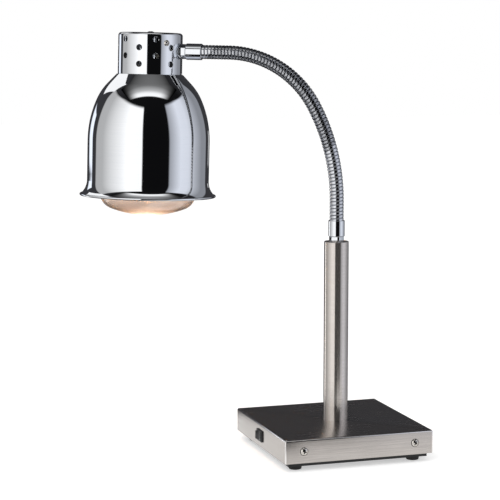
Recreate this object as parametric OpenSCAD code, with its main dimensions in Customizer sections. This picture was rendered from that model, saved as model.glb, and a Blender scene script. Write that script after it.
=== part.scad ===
/* [Base] */
// Width and depth of the square base
base_w = 200; // [180:1:260]
// Height of the brushed steel side
base_h = 30; // [28:1:50]
// Sheet thickness of the base shell
base_t = 1.2; // [0.8:0.1:2]
// Outside radius of the folded top edges
base_r = 2.5; // [2.2:0.1:6]
// Outside radius of the welded upright corners
corner_r = 1.6; // [1:0.1:4]
// How far the bottom tray stands in from the shell's faces
tray_inset = 6; // [5:0.5:12]
// How far the bottom tray shows below the shell
tray_drop = 5; // [3:0.5:10]
// Sheet thickness of the bottom tray
tray_t = 1.5; // [1:0.1:2.5]
// Space between the ballast plate and the shell's faces
ballast_margin = 28; // [26:1:40]
// Thickness of the ballast plate
ballast_t = 12; // [6:0.5:13]
// Opening in the middle of the ballast plate
ballast_hole_d = 70; // [54:1:90]

/* [Feet] */
// Diameter of a rubber foot where it meets the tray
foot_d = 17.5; // [14:0.5:22]
// Height of a rubber foot
foot_h = 6; // [5:0.5:12]
// Foot centre to the shell's faces
foot_inset = 20; // [17:0.5:21]
// Thread diameter of the foot screws
foot_screw_d = 4; // [3:0.5:5]

/* [Case screws] */
// Thread diameter of the case screws
case_screw_d = 5; // [4:0.5:6]
// Diameter of the domed heads
case_head_d = 10.5; // [9:0.5:12]
// Height of the domed heads
case_head_h = 3; // [2:0.1:4]
// Screw to the ends of the face
case_screw_inset = 25; // [18:0.5:40]

/* [Switch] */
// Width of the switch bezel
bezel_w = 21; // [19:0.5:26]
// Height of the switch bezel
bezel_h = 15; // [13:0.5:18]
// How far the bezel stands out of the face
bezel_t = 2; // [1:0.1:3]
// Depth of the switch body behind the face
switch_depth = 18; // [14:0.5:20]
// Tilt of the rocker to each side of the middle
rocker_tilt = 8; // [5:0.5:9]

/* [Cord entry] */
// Entry to the next case screw
entry_gap = 30; // [26:1:45]
// Bore of the cord gland
entry_d = 8; // [6:0.5:9]
// Thread diameter of the cord gland
entry_thread_d = 16; // [14:0.5:18]

/* [Post] */
// Middle of the post to the middle of the base
post_x = 4; // [0:0.5:14]
// Outside diameter of the post
post_d = 32; // [28:0.5:45]
// Wall of the post tube
post_t = 1.5; // [1:0.1:3]
// Height of the post above the base
post_h = 235; // [150:1:350]
// Height of the plugs in both ends of the post
plug_h = 20; // [12:0.5:30]
// Outside diameter of the hollow stud at the foot of the post
stud_d = 12; // [10:0.5:14]
// Bore of the hollow stud
stud_bore_d = 8; // [7:0.5:9]

/* [Gooseneck] */
// Outside diameter over the windings
hose_d = 18.2; // [14:0.2:18.4]
// Depth of the grooves between the windings
hose_groove = 0.9; // [0.4:0.1:1.5]
// Bore of the gooseneck
hose_bore_d = 11; // [9:0.5:12]
// Spacing of the windings
hose_pitch = 4.5; // [3:0.1:8]
// Straight length above the post
rise_straight = 26; // [5:1:80]
// Bend radius of the lower curve
lower_bend_r = 258; // [150:1:400]
// Angle turned by the lower curve
lower_bend_angle = 28; // [15:0.5:50]
// Bend radius of the upper curve
upper_bend_r = 129; // [90:1:200]
// Straight length before the head
head_straight = 36; // [5:1:80]
// How far the gooseneck's end and the head tip up from level
head_tilt = 1; // [0:0.5:6]
// How far the head turns on its fitting, mouth towards the switch's side
head_roll = 2; // [-6:0.5:6]
// Direction of the arm, seen from above
arm_angle = 151; // [-180:1:180]

/* [Ferrules] */
// Outside diameter of the end ferrules
ferrule_d = 21.2; // [21:0.2:26]
// Length of the end ferrules
ferrule_l = 20.5; // [16:0.5:40]
// Diameter of their threaded stems
stem_d = 10; // [8:0.5:11]
// Bore of their threaded stems
stem_bore_d = 7; // [6.8:0.1:7.4]
// Height of the lock nuts
nut_h = 6.3; // [4:0.1:10]
// Size across the flats of the lock nuts
nut_af = 17; // [14:0.5:22]

/* [Neck] */
// Outside diameter of the perforated neck
neck_d = 84; // [76:1:90]
// Height of the neck
neck_h = 54; // [46:0.5:60]
// Wall of the neck
neck_t = 1; // [0.8:0.1:1.4]
// Radius of the rounded top edge
neck_round = 4; // [2:0.5:6]
// Middle of the arm fitting below the neck's top
fitting_drop = 23.5; // [20:0.5:25]
// Diameter of the vent holes
vent_d = 8; // [5:0.5:8.5]
// Angle between two columns of vent holes
vent_step = 30; // [30, 45]
// How far the columns are turned from the arm's line
vent_turn = 9; // [-9:1:9]
// Distance between the holes of a column
vent_pitch = 21.2; // [14:0.2:22]
// First hole of the high columns below the neck's top
vent_drop = 9; // [8:0.2:11]
// Angle from the arm fitting to the near bracket screw
bracket_turn = 46; // [44:1:48]

/* [Shade] */
// Outside diameter of the shade's body
shade_d = 160; // [158:0.5:200]
// Sheet thickness of the shade
shade_t = 1.2; // [0.8:0.1:2]
// Height of the straight body
shade_straight = 52; // [30:1:100]
// Bend radius of the lower shoulder
shoulder_low_r = 135; // [110:1:150]
// Angle turned by the lower shoulder
shoulder_low_angle = 24; // [18:1:30]
// Bend radius of the upper shoulder
shoulder_high_r = 72.6; // [50:0.5:76]
// Slope of the shoulder where it meets the neck
shoulder_angle = 43; // [36:1:46]
// Radius of the flared mouth
flare_r = 24; // [12:0.5:32]
// Angle turned by the flare
flare_angle = 46; // [30:1:70]
// Radius of the rolled rim
rim_r = 1.7; // [1.2:0.1:3]

/* [Lamp] */
// Largest diameter of the reflector bulb
bulb_d = 127; // [100:0.5:128]
// Length of the bulb from face to contact
bulb_l = 170; // [160:1:190]
// Radius of the domed face
face_r = 140; // [100:1:200]
// Radius of the rounded edge of the face
face_edge_r = 22.3; // [18:0.1:26]
// Wall of the glass
glass_t = 1.2; // [0.8:0.1:1.5]
// Diameter of the screw cap
cap_d = 26.2; // [24:0.1:26.6]
// Length of the screw cap
cap_l = 24; // [20:1:28]
// Diameter of the porcelain lamp holder
socket_d = 46; // [40:0.5:60]
// Height of the porcelain lamp holder
socket_h = 51; // [44:1:60]
// Top of the lamp holder above the neck's lower edge
socket_rise = 11.5; // [8:0.5:14]

/* [Hidden] */
$fn = 96;

// Clearances: parts pushed together, a shaft that turns, faces that slide, a sheet seat and a loose rest
slip = 0.1;
run = 0.06;
face_gap = 0.2;
seat = 0.05;
rest_gap = 0.33;

// Levels of the base, from the table upwards
shell_z = foot_h + tray_drop;
base_top = shell_z + base_h;
ceiling_z = base_top - base_t;
face_mid = shell_z + base_h / 2;
tray_top = foot_h + tray_t;
ballast_top = tray_top + ballast_t;
half_w = base_w / 2;
case_x = half_w - case_screw_inset;
entry_x = case_x - entry_gap;
foot_x = half_w - foot_inset;
tray_y = half_w - tray_inset;
flange_y = half_w - base_t - slip;
flange_z = shell_z + 2;
ballast_w = base_w - 2 * ballast_margin;
ballast_screw_x = ballast_w / 2 - 14;
switch_w = bezel_w - 2;
switch_h = bezel_h - 2.3;

// Levels of the post
washer_h = 3;
post_nut_h = 6;
post_top = base_top + post_h;
plug_r = post_d / 2 - post_t - seat;
nut_z = post_top + face_gap;
mouth_z = nut_z + nut_h + face_gap + ferrule_l;
ferrule_bore_r = ferrule_d / 2 - 0.8;

// The gooseneck's centre line in the plane of the arm: out along x, up along z
hose_r = hose_d / 2;
turn_low = lower_bend_angle;
len_low = lower_bend_r * turn_low * PI / 180;
end_turn = 90 - head_tilt;
end_way = [sin(end_turn), cos(end_turn)];
len_high = upper_bend_r * (end_turn - turn_low) * PI / 180;
hose_len = rise_straight + len_low + len_high + head_straight;
low_end = [lower_bend_r * (1 - cos(turn_low)), rise_straight + lower_bend_r * sin(turn_low)];
high_centre = low_end + upper_bend_r * [cos(turn_low), -sin(turn_low)];
high_end = high_centre + upper_bend_r * [-cos(end_turn), sin(end_turn)];
hose_end = high_end + head_straight * end_way;
hose_out = hose_end[0];
fitting_z = mouth_z + hose_end[1];

// Levels of the head
neck_r = neck_d / 2;
reach = hose_out + ferrule_l + face_gap + nut_h + face_gap + neck_r;
neck_top = fitting_z + fitting_drop;
neck_z = neck_top - neck_h;
shade_r = shade_d / 2;
ledge_r = neck_r + 1.5;
collar_r = neck_r - neck_t - seat;
collar_h = 8;
socket_top = neck_z + socket_rise;
contact_z = socket_top - 26.2;
bulb_z = contact_z - bulb_l;
bar_t = 2.5;
bar_w = 12;
bracket_angle = 180 - bracket_turn;
bracket_screw_z = neck_top - 13.4;
leg_r = sqrt(pow(neck_r - neck_t - slip, 2) - pow(bar_w / 2, 2));

// Profile of the shade: centres of its arcs, from the body upwards
low_centre = [shade_r - shoulder_low_r, 0];
low_top = low_centre + shoulder_low_r * [cos(shoulder_low_angle), sin(shoulder_low_angle)];
high_arc = low_top - shoulder_high_r * [cos(shoulder_low_angle), sin(shoulder_low_angle)];
high_top = high_arc + shoulder_high_r * [cos(shoulder_angle), sin(shoulder_angle)];
cone_len = (high_top[0] - ledge_r) / sin(shoulder_angle);
shoulder_h = high_top[1] + cone_len * cos(shoulder_angle);
body_top = neck_z - shoulder_h;
body_bottom = body_top - shade_straight;

// Profile of the bulb: the angle where the face meets its rounded edge, and the reflector
face_angle = asin((bulb_d / 2 - face_edge_r) / (face_r - face_edge_r));
edge_centre = (face_r - face_edge_r) * [sin(face_angle), -cos(face_angle)] + [0, face_r];
back_angle = 118;
back_r = 110;
waist_angle = 142;
waist_r = 30;
back_centre = edge_centre - (back_r - face_edge_r) * [sin(back_angle), -cos(back_angle)];
back_end = back_centre + back_r * [sin(waist_angle), -cos(waist_angle)];
waist_centre = back_end + waist_r * [sin(waist_angle), -cos(waist_angle)];
bulb_neck_r = waist_centre[0] - waist_r;
cap_z = bulb_l - cap_l;

function arc(centre, r, a0, a1, n) =
    [for (i = [0:n]) let (a = a0 + (a1 - a0) * i / n) centre + r * [cos(a), sin(a)]];
function arc_down(centre, r, a0, a1, n) =
    [for (i = [0:n]) let (a = a0 + (a1 - a0) * i / n) centre + r * [sin(a), -cos(a)]];
function flip(points) = [for (i = [len(points) - 1:-1:0]) points[i]];
function unit(v) = v / norm(v);

// Places pieces on the post's axis, in the plane of the arm, and on the axis of the tipped head
module on_post() { translate([post_x, 0, 0]) children(); }
module arm() { on_post() rotate([0, 0, arm_angle]) children(); }
module head() {
    arm() translate([hose_out, 0, fitting_z]) rotate([0, -head_tilt, 0]) rotate([head_roll, 0, 0])
        translate([reach - hose_out, 0, -fitting_z]) children();
}

// A block whose upper edges and upright corners are rounded
module folded_block(w, h, r, c) {
    side = concat([[w / 2, 0]], arc([w / 2 - r, h - r], r, 0, 90, 6), arc([r - w / 2, h - r], r, 90, 180, 6),
        [[-w / 2, 0]]);
    plan = concat(arc([w / 2 - c, w / 2 - c], c, 0, 90, 4), arc([c - w / 2, w / 2 - c], c, 90, 180, 4),
        arc([c - w / 2, c - w / 2], c, 180, 270, 4), arc([w / 2 - c, c - w / 2], c, 270, 360, 4));
    intersection() {
        rotate([90, 0, 0]) linear_extrude(w + 2, center = true) polygon(side);
        rotate([90, 0, 90]) linear_extrude(w + 2, center = true) polygon(side);
        linear_extrude(h + 1) polygon(plan);
    }
}

module four(x) {
    for (sx = [-1, 1], sy = [-1, 1]) translate([sx * x, sy * x, 0]) children();
}

// A plain hexagon nut with chamfered corners
module hex_nut(af, h, hole) {
    corner = af / sqrt(3);
    cut = corner - af / 2;
    difference() {
        intersection() {
            cylinder(r = corner, h = h, $fn = 6);
            rotate_extrude() polygon([[0, 0], [af / 2, 0], [corner, cut * 0.6], [corner, h - cut * 0.6],
                [af / 2, h], [0, h]]);
        }
        translate([0, 0, -1]) cylinder(d = hole, h = h + 2);
    }
}

// A domed head with a cross recess, standing on z = 0, and its shank below
module dome_screw(head_d, head_h, shank_d, shank_l) {
    ball = (pow(head_d / 2, 2) + pow(head_h, 2)) / (2 * head_h);
    slot = head_d * 0.13;
    difference() {
        intersection() {
            translate([0, 0, head_h - ball]) sphere(r = ball);
            cylinder(d = head_d + 1, h = head_h + 1);
        }
        for (a = [0, 90]) rotate([0, 0, a + 20]) translate([-head_d * 0.27, -slot / 2, head_h * 0.45])
            cube([head_d * 0.54, slot, head_h]);
    }
    translate([0, 0, -shank_l]) cylinder(d = shank_d, h = shank_l + 0.5);
}

// A round tube along a list of points; side is a direction that the path never takes
function ring(p, t, side, r, n) = let (a = unit(cross(side, t)), b = cross(t, a))
    [for (k = [0:n - 1]) p + r * (cos(360 * k / n) * a + sin(360 * k / n) * b)];
function tangent(path, i) = unit(path[min(i + 1, len(path) - 1)] - path[max(i - 1, 0)]);
module lead(path, r, side, n = 8) {
    m = len(path);
    points = [for (i = [0:m - 1]) each ring(path[i], tangent(path, i), side, r, n)];
    walls = [for (i = [0:m - 2], k = [0:n - 1]) let (a = i * n + k, b = i * n + (k + 1) % n)
        each [[a, b, b + n], [a, b + n, a + n]]];
    start = [for (k = [1:n - 2]) [0, k + 1, k]];
    end = [for (k = [1:n - 2]) [(m - 1) * n, (m - 1) * n + k, (m - 1) * n + k + 1]];
    polyhedron(points, [for (f = concat(walls, start, end)) flip(f)]);
}

// Base shell: one folded sheet with welded corners, open below
module base_shell() {
    color("#b8b2ae") difference() {
        translate([0, 0, shell_z]) folded_block(base_w, base_h, base_r, corner_r);
        translate([0, 0, shell_z - base_t])
            folded_block(base_w - 2 * base_t, base_h, max(base_r - base_t, 0.4), max(corner_r - base_t, 0.3));
        on_post() cylinder(d = stud_d + 0.6, h = base_top + 1);
        for (s = [-1, 1], x = [-case_x, case_x]) translate([x, s * half_w, face_mid])
            rotate([90, 0, 0]) cylinder(d = case_screw_d + 0.6, h = 8, center = true);
        translate([-half_w, 0, face_mid])
            cube([8, switch_w + 2 * slip, switch_h + 2 * slip], center = true);
        translate([entry_x, half_w, face_mid]) rotate([90, 0, 0])
            cylinder(d = entry_thread_d + 0.4, h = 8, center = true);
    }
}

// Bottom tray: black sheet whose front and back edges step out against the shell
module bottom_tray() {
    half = [[tray_y, foot_h], [tray_y, flange_z], [flange_y, flange_z], [flange_y, ceiling_z - 4],
        [flange_y - tray_t, ceiling_z - 4], [flange_y - tray_t, flange_z + tray_t],
        [tray_y - tray_t, flange_z + tray_t], [tray_y - tray_t, tray_top]];
    color("#1b1b1c") difference() {
        union() {
            rotate([90, 0, 90]) linear_extrude(2 * tray_y, center = true)
                polygon(concat(half, [for (p = flip(half)) [-p[0], p[1]]]));
            for (s = [-1, 1]) translate([s * (tray_y - tray_t / 2), 0, (foot_h + flange_z) / 2])
                cube([tray_t, 2 * tray_y, flange_z - foot_h], center = true);
        }
        four(foot_x) cylinder(d = foot_screw_d + 0.4, h = shell_z);
        four(ballast_screw_x) cylinder(d = 5.4, h = shell_z);
        for (s = [-1, 1], x = [-case_x, case_x]) translate([x, s * half_w, face_mid])
            rotate([90, 0, 0]) cylinder(d = case_screw_d + 0.6, h = 12, center = true);
        translate([entry_x, half_w, face_mid]) rotate([90, 0, 0])
            cylinder(d = entry_thread_d + 0.4, h = 12, center = true);
    }
}

// Ballast: a cast plate that keeps the lamp from tipping, open in the middle for the wires
module ballast_plate() {
    c = 8;
    w = ballast_w / 2;
    outline = concat([[w, c - w]], [[w, w - c], [w - c, w], [c - w, w], [-w, w - c], [-w, c - w], [c - w, -w],
        [w - c, -w]]);
    color("#4a4c4f") difference() {
        translate([0, 0, tray_top]) linear_extrude(ballast_t) polygon(outline);
        cylinder(d = ballast_hole_d, h = base_top);
        four(ballast_screw_x) cylinder(d = 5, h = ballast_top - 3);
    }
}

module ballast_screws() {
    color("#8d8f92") four(ballast_screw_x) translate([0, 0, foot_h]) rotate([180, 0, 0])
        dome_screw(9, 2.4, 5 - 2 * seat, tray_t + ballast_t * 0.6);
}

// Feet: turned rubber cones, recessed for a locating pin and, above it, for the screw's head
foot_head_h = 1.9;
foot_recess = foot_h / 2;
foot_seat_z = foot_recess + foot_head_h;
module rubber_feet() {
    r = foot_d / 2;
    hole_r = foot_screw_d / 2 + 0.2;
    head_r = foot_screw_d + 0.2;
    recess_r = foot_screw_d + 0.6;
    color("#161617") four(foot_x) rotate_extrude()
        polygon([[hole_r, foot_seat_z], [head_r, foot_seat_z], [head_r, foot_recess], [recess_r, foot_recess],
            [recess_r, 0], [r - 1.2, 0], [r - 0.6, 0.6], [r, foot_h], [hole_r, foot_h]]);
}

module foot_screws() {
    color("#8d8f92") four(foot_x) translate([0, 0, foot_seat_z]) rotate([180, 0, 0])
        dome_screw(2 * foot_screw_d, foot_head_h, foot_screw_d - 2 * seat, tray_top + 4.5 - foot_seat_z);
}

module foot_nuts() {
    color("#8d8f92") four(foot_x) translate([0, 0, tray_top])
        hex_nut(foot_screw_d * 1.75, foot_screw_d * 0.8, foot_screw_d);
}

// Case screws: domed heads on the front and back faces, in nuts welded to the tray's flanges
module case_screws() {
    color("#c9c9c9") for (s = [0, 180], x = [-case_x, case_x]) rotate([0, 0, s])
        translate([x, -half_w, face_mid]) rotate([90, 0, 0])
            dome_screw(case_head_d, case_head_h, case_screw_d - 2 * seat, 11);
}

module case_nuts() {
    w = case_screw_d * 2;
    color("#8d8f92") for (s = [0, 180], x = [-case_x, case_x]) rotate([0, 0, s])
        translate([x, tray_t - flange_y, face_mid]) difference() {
            translate([-w / 2, 0, -w / 2]) cube([w, 4, w]);
            rotate([90, 0, 0]) cylinder(d = case_screw_d, h = 20, center = true);
        }
}

// Places switch pieces on the left face, with x pointing out of it
module left_face() { translate([-half_w, 0, face_mid]) rotate([0, 0, 180]) children(); }
pivot_in = 3.5;
pocket_w = bezel_w - 3.2;
pocket_h = bezel_h - 3.8;
trunnion_r = 1.5;

// Switch housing: moulded bezel and body with the rocker's pocket
module switch_housing() {
    color("#1a1a1b") left_face() difference() {
        union() {
            intersection() {
                translate([0, -bezel_w / 2, -bezel_h / 2]) cube([bezel_t, bezel_w, bezel_h]);
                rotate([90, 0, 0]) linear_extrude(bezel_w + 2, center = true)
                    polygon([[0, -bezel_h / 2], [bezel_t - 0.8, -bezel_h / 2], [bezel_t, 0.8 - bezel_h / 2],
                        [bezel_t, bezel_h / 2 - 0.8], [bezel_t - 0.8, bezel_h / 2], [0, bezel_h / 2]]);
            }
            translate([-switch_depth, -switch_w / 2, -switch_h / 2])
                cube([switch_depth + 0.5, switch_w, switch_h]);
        }
        translate([-9.5, -pocket_w / 2, -pocket_h / 2]) cube([20, pocket_w, pocket_h]);
        translate([-pivot_in, 0, 0]) cylinder(r = trunnion_r + run, h = pocket_h + 1.3, center = true);
        for (y = [-4, 4]) translate([-switch_depth - 1, y - 0.5, -2.4]) cube([8, 1, 4.8]);
    }
}

// Switch rocker: two flats that meet in a shallow V, turning on two trunnions
module switch_rocker() {
    l = pocket_w / 2 - 1.3;
    color("#232324") left_face() translate([-pivot_in, 0, 0]) rotate([0, 0, rocker_tilt]) {
        linear_extrude(pocket_h - 2 * face_gap, center = true)
            polygon([[-2.5, -4], [-1, -l], [pivot_in + bezel_t + 2.1, -l], [pivot_in + bezel_t, -0.6],
                [pivot_in + bezel_t, 0.6], [pivot_in + bezel_t + 2.1, l], [-1, l], [-2.5, 4]]);
        cylinder(r = trunnion_r, h = pocket_h + 1, center = true);
    }
}

module switch_tabs() {
    color("#c9b26a") left_face() for (y = [-4, 4]) translate([-switch_depth - 6, y - 0.4, -2.2])
        cube([12, 0.8, 4.4]);
}

// Cord gland: a moulded entry for the supply cord, which is not part of the model
module cord_gland() {
    r = entry_thread_d / 2;
    color("#161617") translate([entry_x, half_w, face_mid]) rotate([-90, 0, 0]) difference() {
        union() {
            rotate([0, 0, 30]) cylinder(r = r + 3.5, h = 5, $fn = 6);
            rotate_extrude()
                polygon([[0, 4], [r + 2, 4], [r + 1.4, 9], [r - 0.4, 14], [r - 1.6, 15.5], [0, 15.5]]);
            translate([0, 0, -12]) cylinder(r = r, h = 14);
        }
        translate([0, 0, -13]) cylinder(d = entry_d, h = 40);
    }
}

module gland_nut() {
    stack = base_t + slip + tray_t;
    color("#161617") translate([entry_x, half_w - stack, face_mid]) rotate([90, 0, 0])
        hex_nut(entry_thread_d + 4.5, 5, entry_thread_d + 2 * seat);
}

block_x = 0.21 * base_w;
block_y = 0.25 * base_w;
block_l = 30;
block_w = 20;
block_h = 13;

// Terminal block: three poles on the ballast plate, joining cord, switch and lamp
module terminal_block() {
    color("#e8e6e0") translate([block_x, block_y, ballast_top]) difference() {
        translate([-block_l / 2, -block_w / 2, 0]) cube([block_l, block_w, block_h]);
        for (i = [-1, 0, 1], y = [-5, 5]) translate([i * 10, y, 4]) cylinder(d = 5, h = block_h);
        for (i = [-0.5, 0.5]) translate([i * 10 - 0.5, -block_w / 2 - 1, 8]) cube([1, block_w + 2, block_h]);
    }
}

module terminal_screws() {
    color("#c9b26a") translate([block_x, block_y, ballast_top + 4]) for (i = [-1, 0, 1], y = [-5, 5])
        translate([i * 10, y, 0]) difference() {
            cylinder(d = 5 - 2 * seat, h = 6);
            translate([-3, -0.4, 5]) cube([6, 0.8, 2]);
        }
}

// Routes inside the base: the switch wires and the earth wire
wire_r = 1.3;
wire_z = ballast_top + 6.5;
tab_x = 6 + switch_depth - half_w;
wire_gap = 0.2;
block_end = block_x - block_l / 2 - wire_gap;
switch_route_a = [[tab_x + wire_gap, -4, 0], [tab_x + 4, -4, 0], [-50, 12, 0], [-30, 28, 0], [-8, 38, 0],
    [12, 44, 0], [block_end - 5, 46, 0], [block_end, 46, 0]];
switch_route_b = [[tab_x + wire_gap, 4, 0], [tab_x + 4, 4, 0], [-54, 20, 0], [-34, 37, 0], [-10, 48, 0],
    [12, 53, 0], [block_end - 5, 54, 0], [block_end, 54, 0]];
module switch_leads() {
    color("#3a2f2a") {
        lead([for (p = switch_route_a) [p[0], p[1], wire_z]], wire_r, [0, 0, 1], 6);
        lead([for (p = switch_route_b) [p[0], p[1], wire_z]], wire_r, [0, 0, 1], 6);
    }
}

stud_at = [58, -30];
tag_z = ceiling_z - 4.5;
module earth_stud() {
    color("#c9c9c9") translate([stud_at[0], stud_at[1], ceiling_z - 13]) cylinder(d = 4 - 2 * seat, h = 13);
}

module earth_nut() {
    color("#8d8f92") translate([stud_at[0], stud_at[1], tag_z - 1 - 3.2]) hex_nut(7, 3.2, 4);
}

// Earth wire with its ring tag, clamped under the nut
module earth_lead() {
    color("#5f7a2a") {
        translate([stud_at[0], stud_at[1], tag_z - 1]) difference() {
            union() {
                cylinder(d = 9, h = 1);
                translate([-2, 0, 0]) cube([4, 9, 1]);
            }
            translate([0, 0, -1]) cylinder(d = 4.2, h = 3);
        }
        lead([[stud_at[0], stud_at[1] + 7, tag_z - 0.5], [stud_at[0], stud_at[1] + 14, tag_z - 1],
            [stud_at[0] - 1, -6, wire_z + 4], [stud_at[0] - 3, 12, wire_z + 1], [54, 24, wire_z],
            [52, 34, wire_z], [52, block_y - block_w / 2 - wire_gap, wire_z]], wire_r, [0, 0, 1], 6);
    }
}

// Post: drawn tube, chamfered at its top edge
module post_tube() {
    r = post_d / 2;
    color("#b9b3ae") on_post() rotate_extrude() polygon([[r - post_t, base_top], [r, base_top],
        [r, post_top - 0.8], [r - 0.8, post_top], [r - post_t, post_top]]);
}

module post_foot_plug() {
    color("#8d8f92") on_post() translate([0, 0, base_top]) difference() {
        cylinder(r = plug_r, h = plug_h);
        translate([0, 0, -1]) cylinder(d = stud_d + 2 * seat, h = plug_h + 2);
    }
}

// Hollow stud: clamps the post to the base and lets the lamp's lead through
module post_stud() {
    bottom = ceiling_z - washer_h - post_nut_h - 2;
    color("#a5a7aa") on_post() difference() {
        translate([0, 0, bottom]) cylinder(d = stud_d, h = base_top + plug_h - 2 - bottom);
        cylinder(d = stud_bore_d, h = post_top);
    }
}

module post_washer() {
    color("#8d8f92") on_post() translate([0, 0, ceiling_z - washer_h]) difference() {
        cylinder(d = post_d + 8, h = washer_h);
        translate([0, 0, -1]) cylinder(d = stud_d + 0.4, h = washer_h + 2);
    }
}

module post_nut() {
    color("#8d8f92") on_post() translate([0, 0, ceiling_z - washer_h - post_nut_h])
        hex_nut(stud_d + 7, post_nut_h, stud_d + 2 * seat);
}

// Top plug: closes the post and is the bearing of the arm's stem
module post_top_plug() {
    color("#a8a39f") on_post() translate([0, 0, post_top - plug_h]) difference() {
        cylinder(r = plug_r, h = plug_h - 0.3);
        translate([0, 0, -1]) cylinder(r = stem_d / 2 + run, h = plug_h + 2);
    }
}

// A turned ferrule: its mouth is at the origin and faces up, its stem points down
module ferrule(stem_l) {
    r = ferrule_d / 2;
    floor_z = -hose_r - 1;
    color("#d9dadc") rotate_extrude()
        polygon([[ferrule_bore_r, 0], [r - 0.4, 0], [r, -0.4], [r, 0.8 - ferrule_l], [r - 0.8, -ferrule_l],
            [stem_d / 2, -ferrule_l], [stem_d / 2, -ferrule_l - stem_l], [stem_bore_d / 2, -ferrule_l - stem_l],
            [stem_bore_d / 2, floor_z], [ferrule_bore_r, floor_z]]);
}

low_stem_l = nut_h + 2 * face_gap + plug_h + nut_h + 3;
high_stem_l = nut_h + 2 * face_gap + neck_t + nut_h + 3;

module lower_ferrule() { on_post() translate([0, 0, mouth_z]) ferrule(low_stem_l); }

module lower_lock_nut() {
    color("#c4c5c8") arm() translate([0, 0, nut_z]) hex_nut(nut_af, nut_h, stem_d + 2 * seat);
}

module stem_nut() {
    color("#8d8f92") on_post() translate([0, 0, post_top - plug_h - face_gap - nut_h])
        hex_nut(nut_af, nut_h, stem_d + 2 * seat);
}

// The gooseneck's centre line: place and heading at a distance s from its lower end
function hose_at(s) =
    s < rise_straight ? [0, s] :
    s < rise_straight + len_low ? let (a = (s - rise_straight) / len_low * turn_low)
        [lower_bend_r * (1 - cos(a)), rise_straight + lower_bend_r * sin(a)] :
    s < hose_len - head_straight ?
        let (a = turn_low + (s - rise_straight - len_low) / len_high * (end_turn - turn_low))
        high_centre + upper_bend_r * [-cos(a), sin(a)] :
    high_end + (s - hose_len + head_straight) * end_way;
function hose_turn(s) =
    s < rise_straight ? 0 :
    s < rise_straight + len_low ? (s - rise_straight) / len_low * turn_low :
    s < hose_len - head_straight ?
        turn_low + (s - rise_straight - len_low) / len_high * (end_turn - turn_low) : end_turn;
function hose_ring(s, r, n) = let (p = hose_at(s), a = hose_turn(s))
    [for (k = [0:n - 1]) let (u = r * cos(360 * k / n), v = r * sin(360 * k / n))
        [p[0] + u * cos(a), v, mouth_z + p[1] - u * sin(a)]];

// Gooseneck: one wound steel tube, domed at both ends where it turns in the ferrules
module gooseneck_hose() {
    n = 8;
    turns = round(hose_len / hose_pitch);
    step = hose_len / turns;
    core_r = hose_r - hose_groove;
    dome = [for (a = [45, 30, 15]) [-hose_r * sin(a), hose_r * cos(a)]];
    wound = [for (i = [0:turns]) each (i < turns ? [[i * step, hose_r], [(i + 0.5) * step, core_r]] :
        [[hose_len, hose_r]])];
    outside = concat(dome, wound, [for (p = flip(dome)) [hose_len - p[0], p[1]]]);
    first = dome[0][0] + 0.4;
    bores = 24;
    inside = [for (i = [0:bores]) [hose_len - first + (2 * first - hose_len) * i / bores, hose_bore_d / 2]];
    rings = concat(outside, inside);
    m = len(rings);
    points = [for (p = rings) each hose_ring(p[0], p[1], n)];
    faces = [for (i = [0:m - 1], k = [0:n - 1])
        let (j = (i + 1) % m, l = (k + 1) % n, a = i * n + k, b = i * n + l, c = j * n + k, d = j * n + l)
        each [[a, b, d], [a, d, c]]];
    color("#c2c4c8") arm() polyhedron(points, faces);
}

lead_r = 3;
joint_gap = 1.2;

// Lamp lead: from the terminal block up the post and through the arm's stem
module lamp_lead_lower() {
    start = [block_end - post_x, block_y - 9.5, wire_z - 1];
    way = [for (p = [[0.7, 0.7, -1], [0.58, 0.5, -6], [0.35, 0.27, -11]])
        [p[0] * start[0], p[1] * start[1], start[2] + p[2]]];
    foot = concat([start, start - [4, 0, 0], start - [7, 5, 0]], way,
        [[3, 4.5, wire_z - 14], [0, 1, wire_z - 9], [0, 0, wire_z - 2]]);
    color("#e3ded2") on_post()
        lead(concat(foot, [[0, 0, base_top], [0, 0, post_top], [0, 0, mouth_z - joint_gap]]),
        lead_r, unit([-start[1], start[0], 0]));
}

// The part of the lead inside the gooseneck lies against the lower side of its bore
module lamp_lead_middle() {
    steps = 26;
    lay = hose_bore_d / 2 - lead_r - rest_gap;
    color("#e3ded2") arm() lead([for (i = [0:steps])
        let (s = joint_gap + (hose_len - 2 * joint_gap) * i / steps, a = hose_turn(s),
            p = hose_at(s) + lay * min(1, s / 25, (hose_len - s) / 25) * [cos(a), -sin(a)])
        [p[0], 0, mouth_z + p[1]]], lead_r, [0, 1, 0]);
}

module lamp_lead_upper() {
    end = -neck_r + neck_t + nut_h + 4;
    color("#e3ded2") head() lead([[hose_out + joint_gap - reach, 0, fitting_z], [end, 0, fitting_z],
        [end + 7, -0.8, fitting_z - 0.4], [-14, -2, fitting_z - 3], [-11, -3.4, fitting_z - 8],
        [-10, -4, socket_top + 5], [-10, -4, socket_top + wire_gap]], lead_r, [0, 1, 0]);
}

module upper_ferrule() {
    arm() translate([hose_out, 0, fitting_z]) rotate([0, -90 - head_tilt, 0]) ferrule(high_stem_l);
}

module upper_lock_nut() {
    color("#c4c5c8") head() translate([-neck_r - nut_h - face_gap / 2, 0, fitting_z]) rotate([0, 90, 0])
        hex_nut(nut_af, nut_h, stem_d + 2 * seat);
}

module inner_neck_nut() {
    flat = sqrt(pow(neck_r - neck_t, 2) - pow(nut_af / 2, 2)) - face_gap;
    color("#8d8f92") head() translate([-flat, 0, fitting_z]) rotate([0, 90, 0])
        hex_nut(nut_af, nut_h, stem_d + 2 * seat);
}

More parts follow.
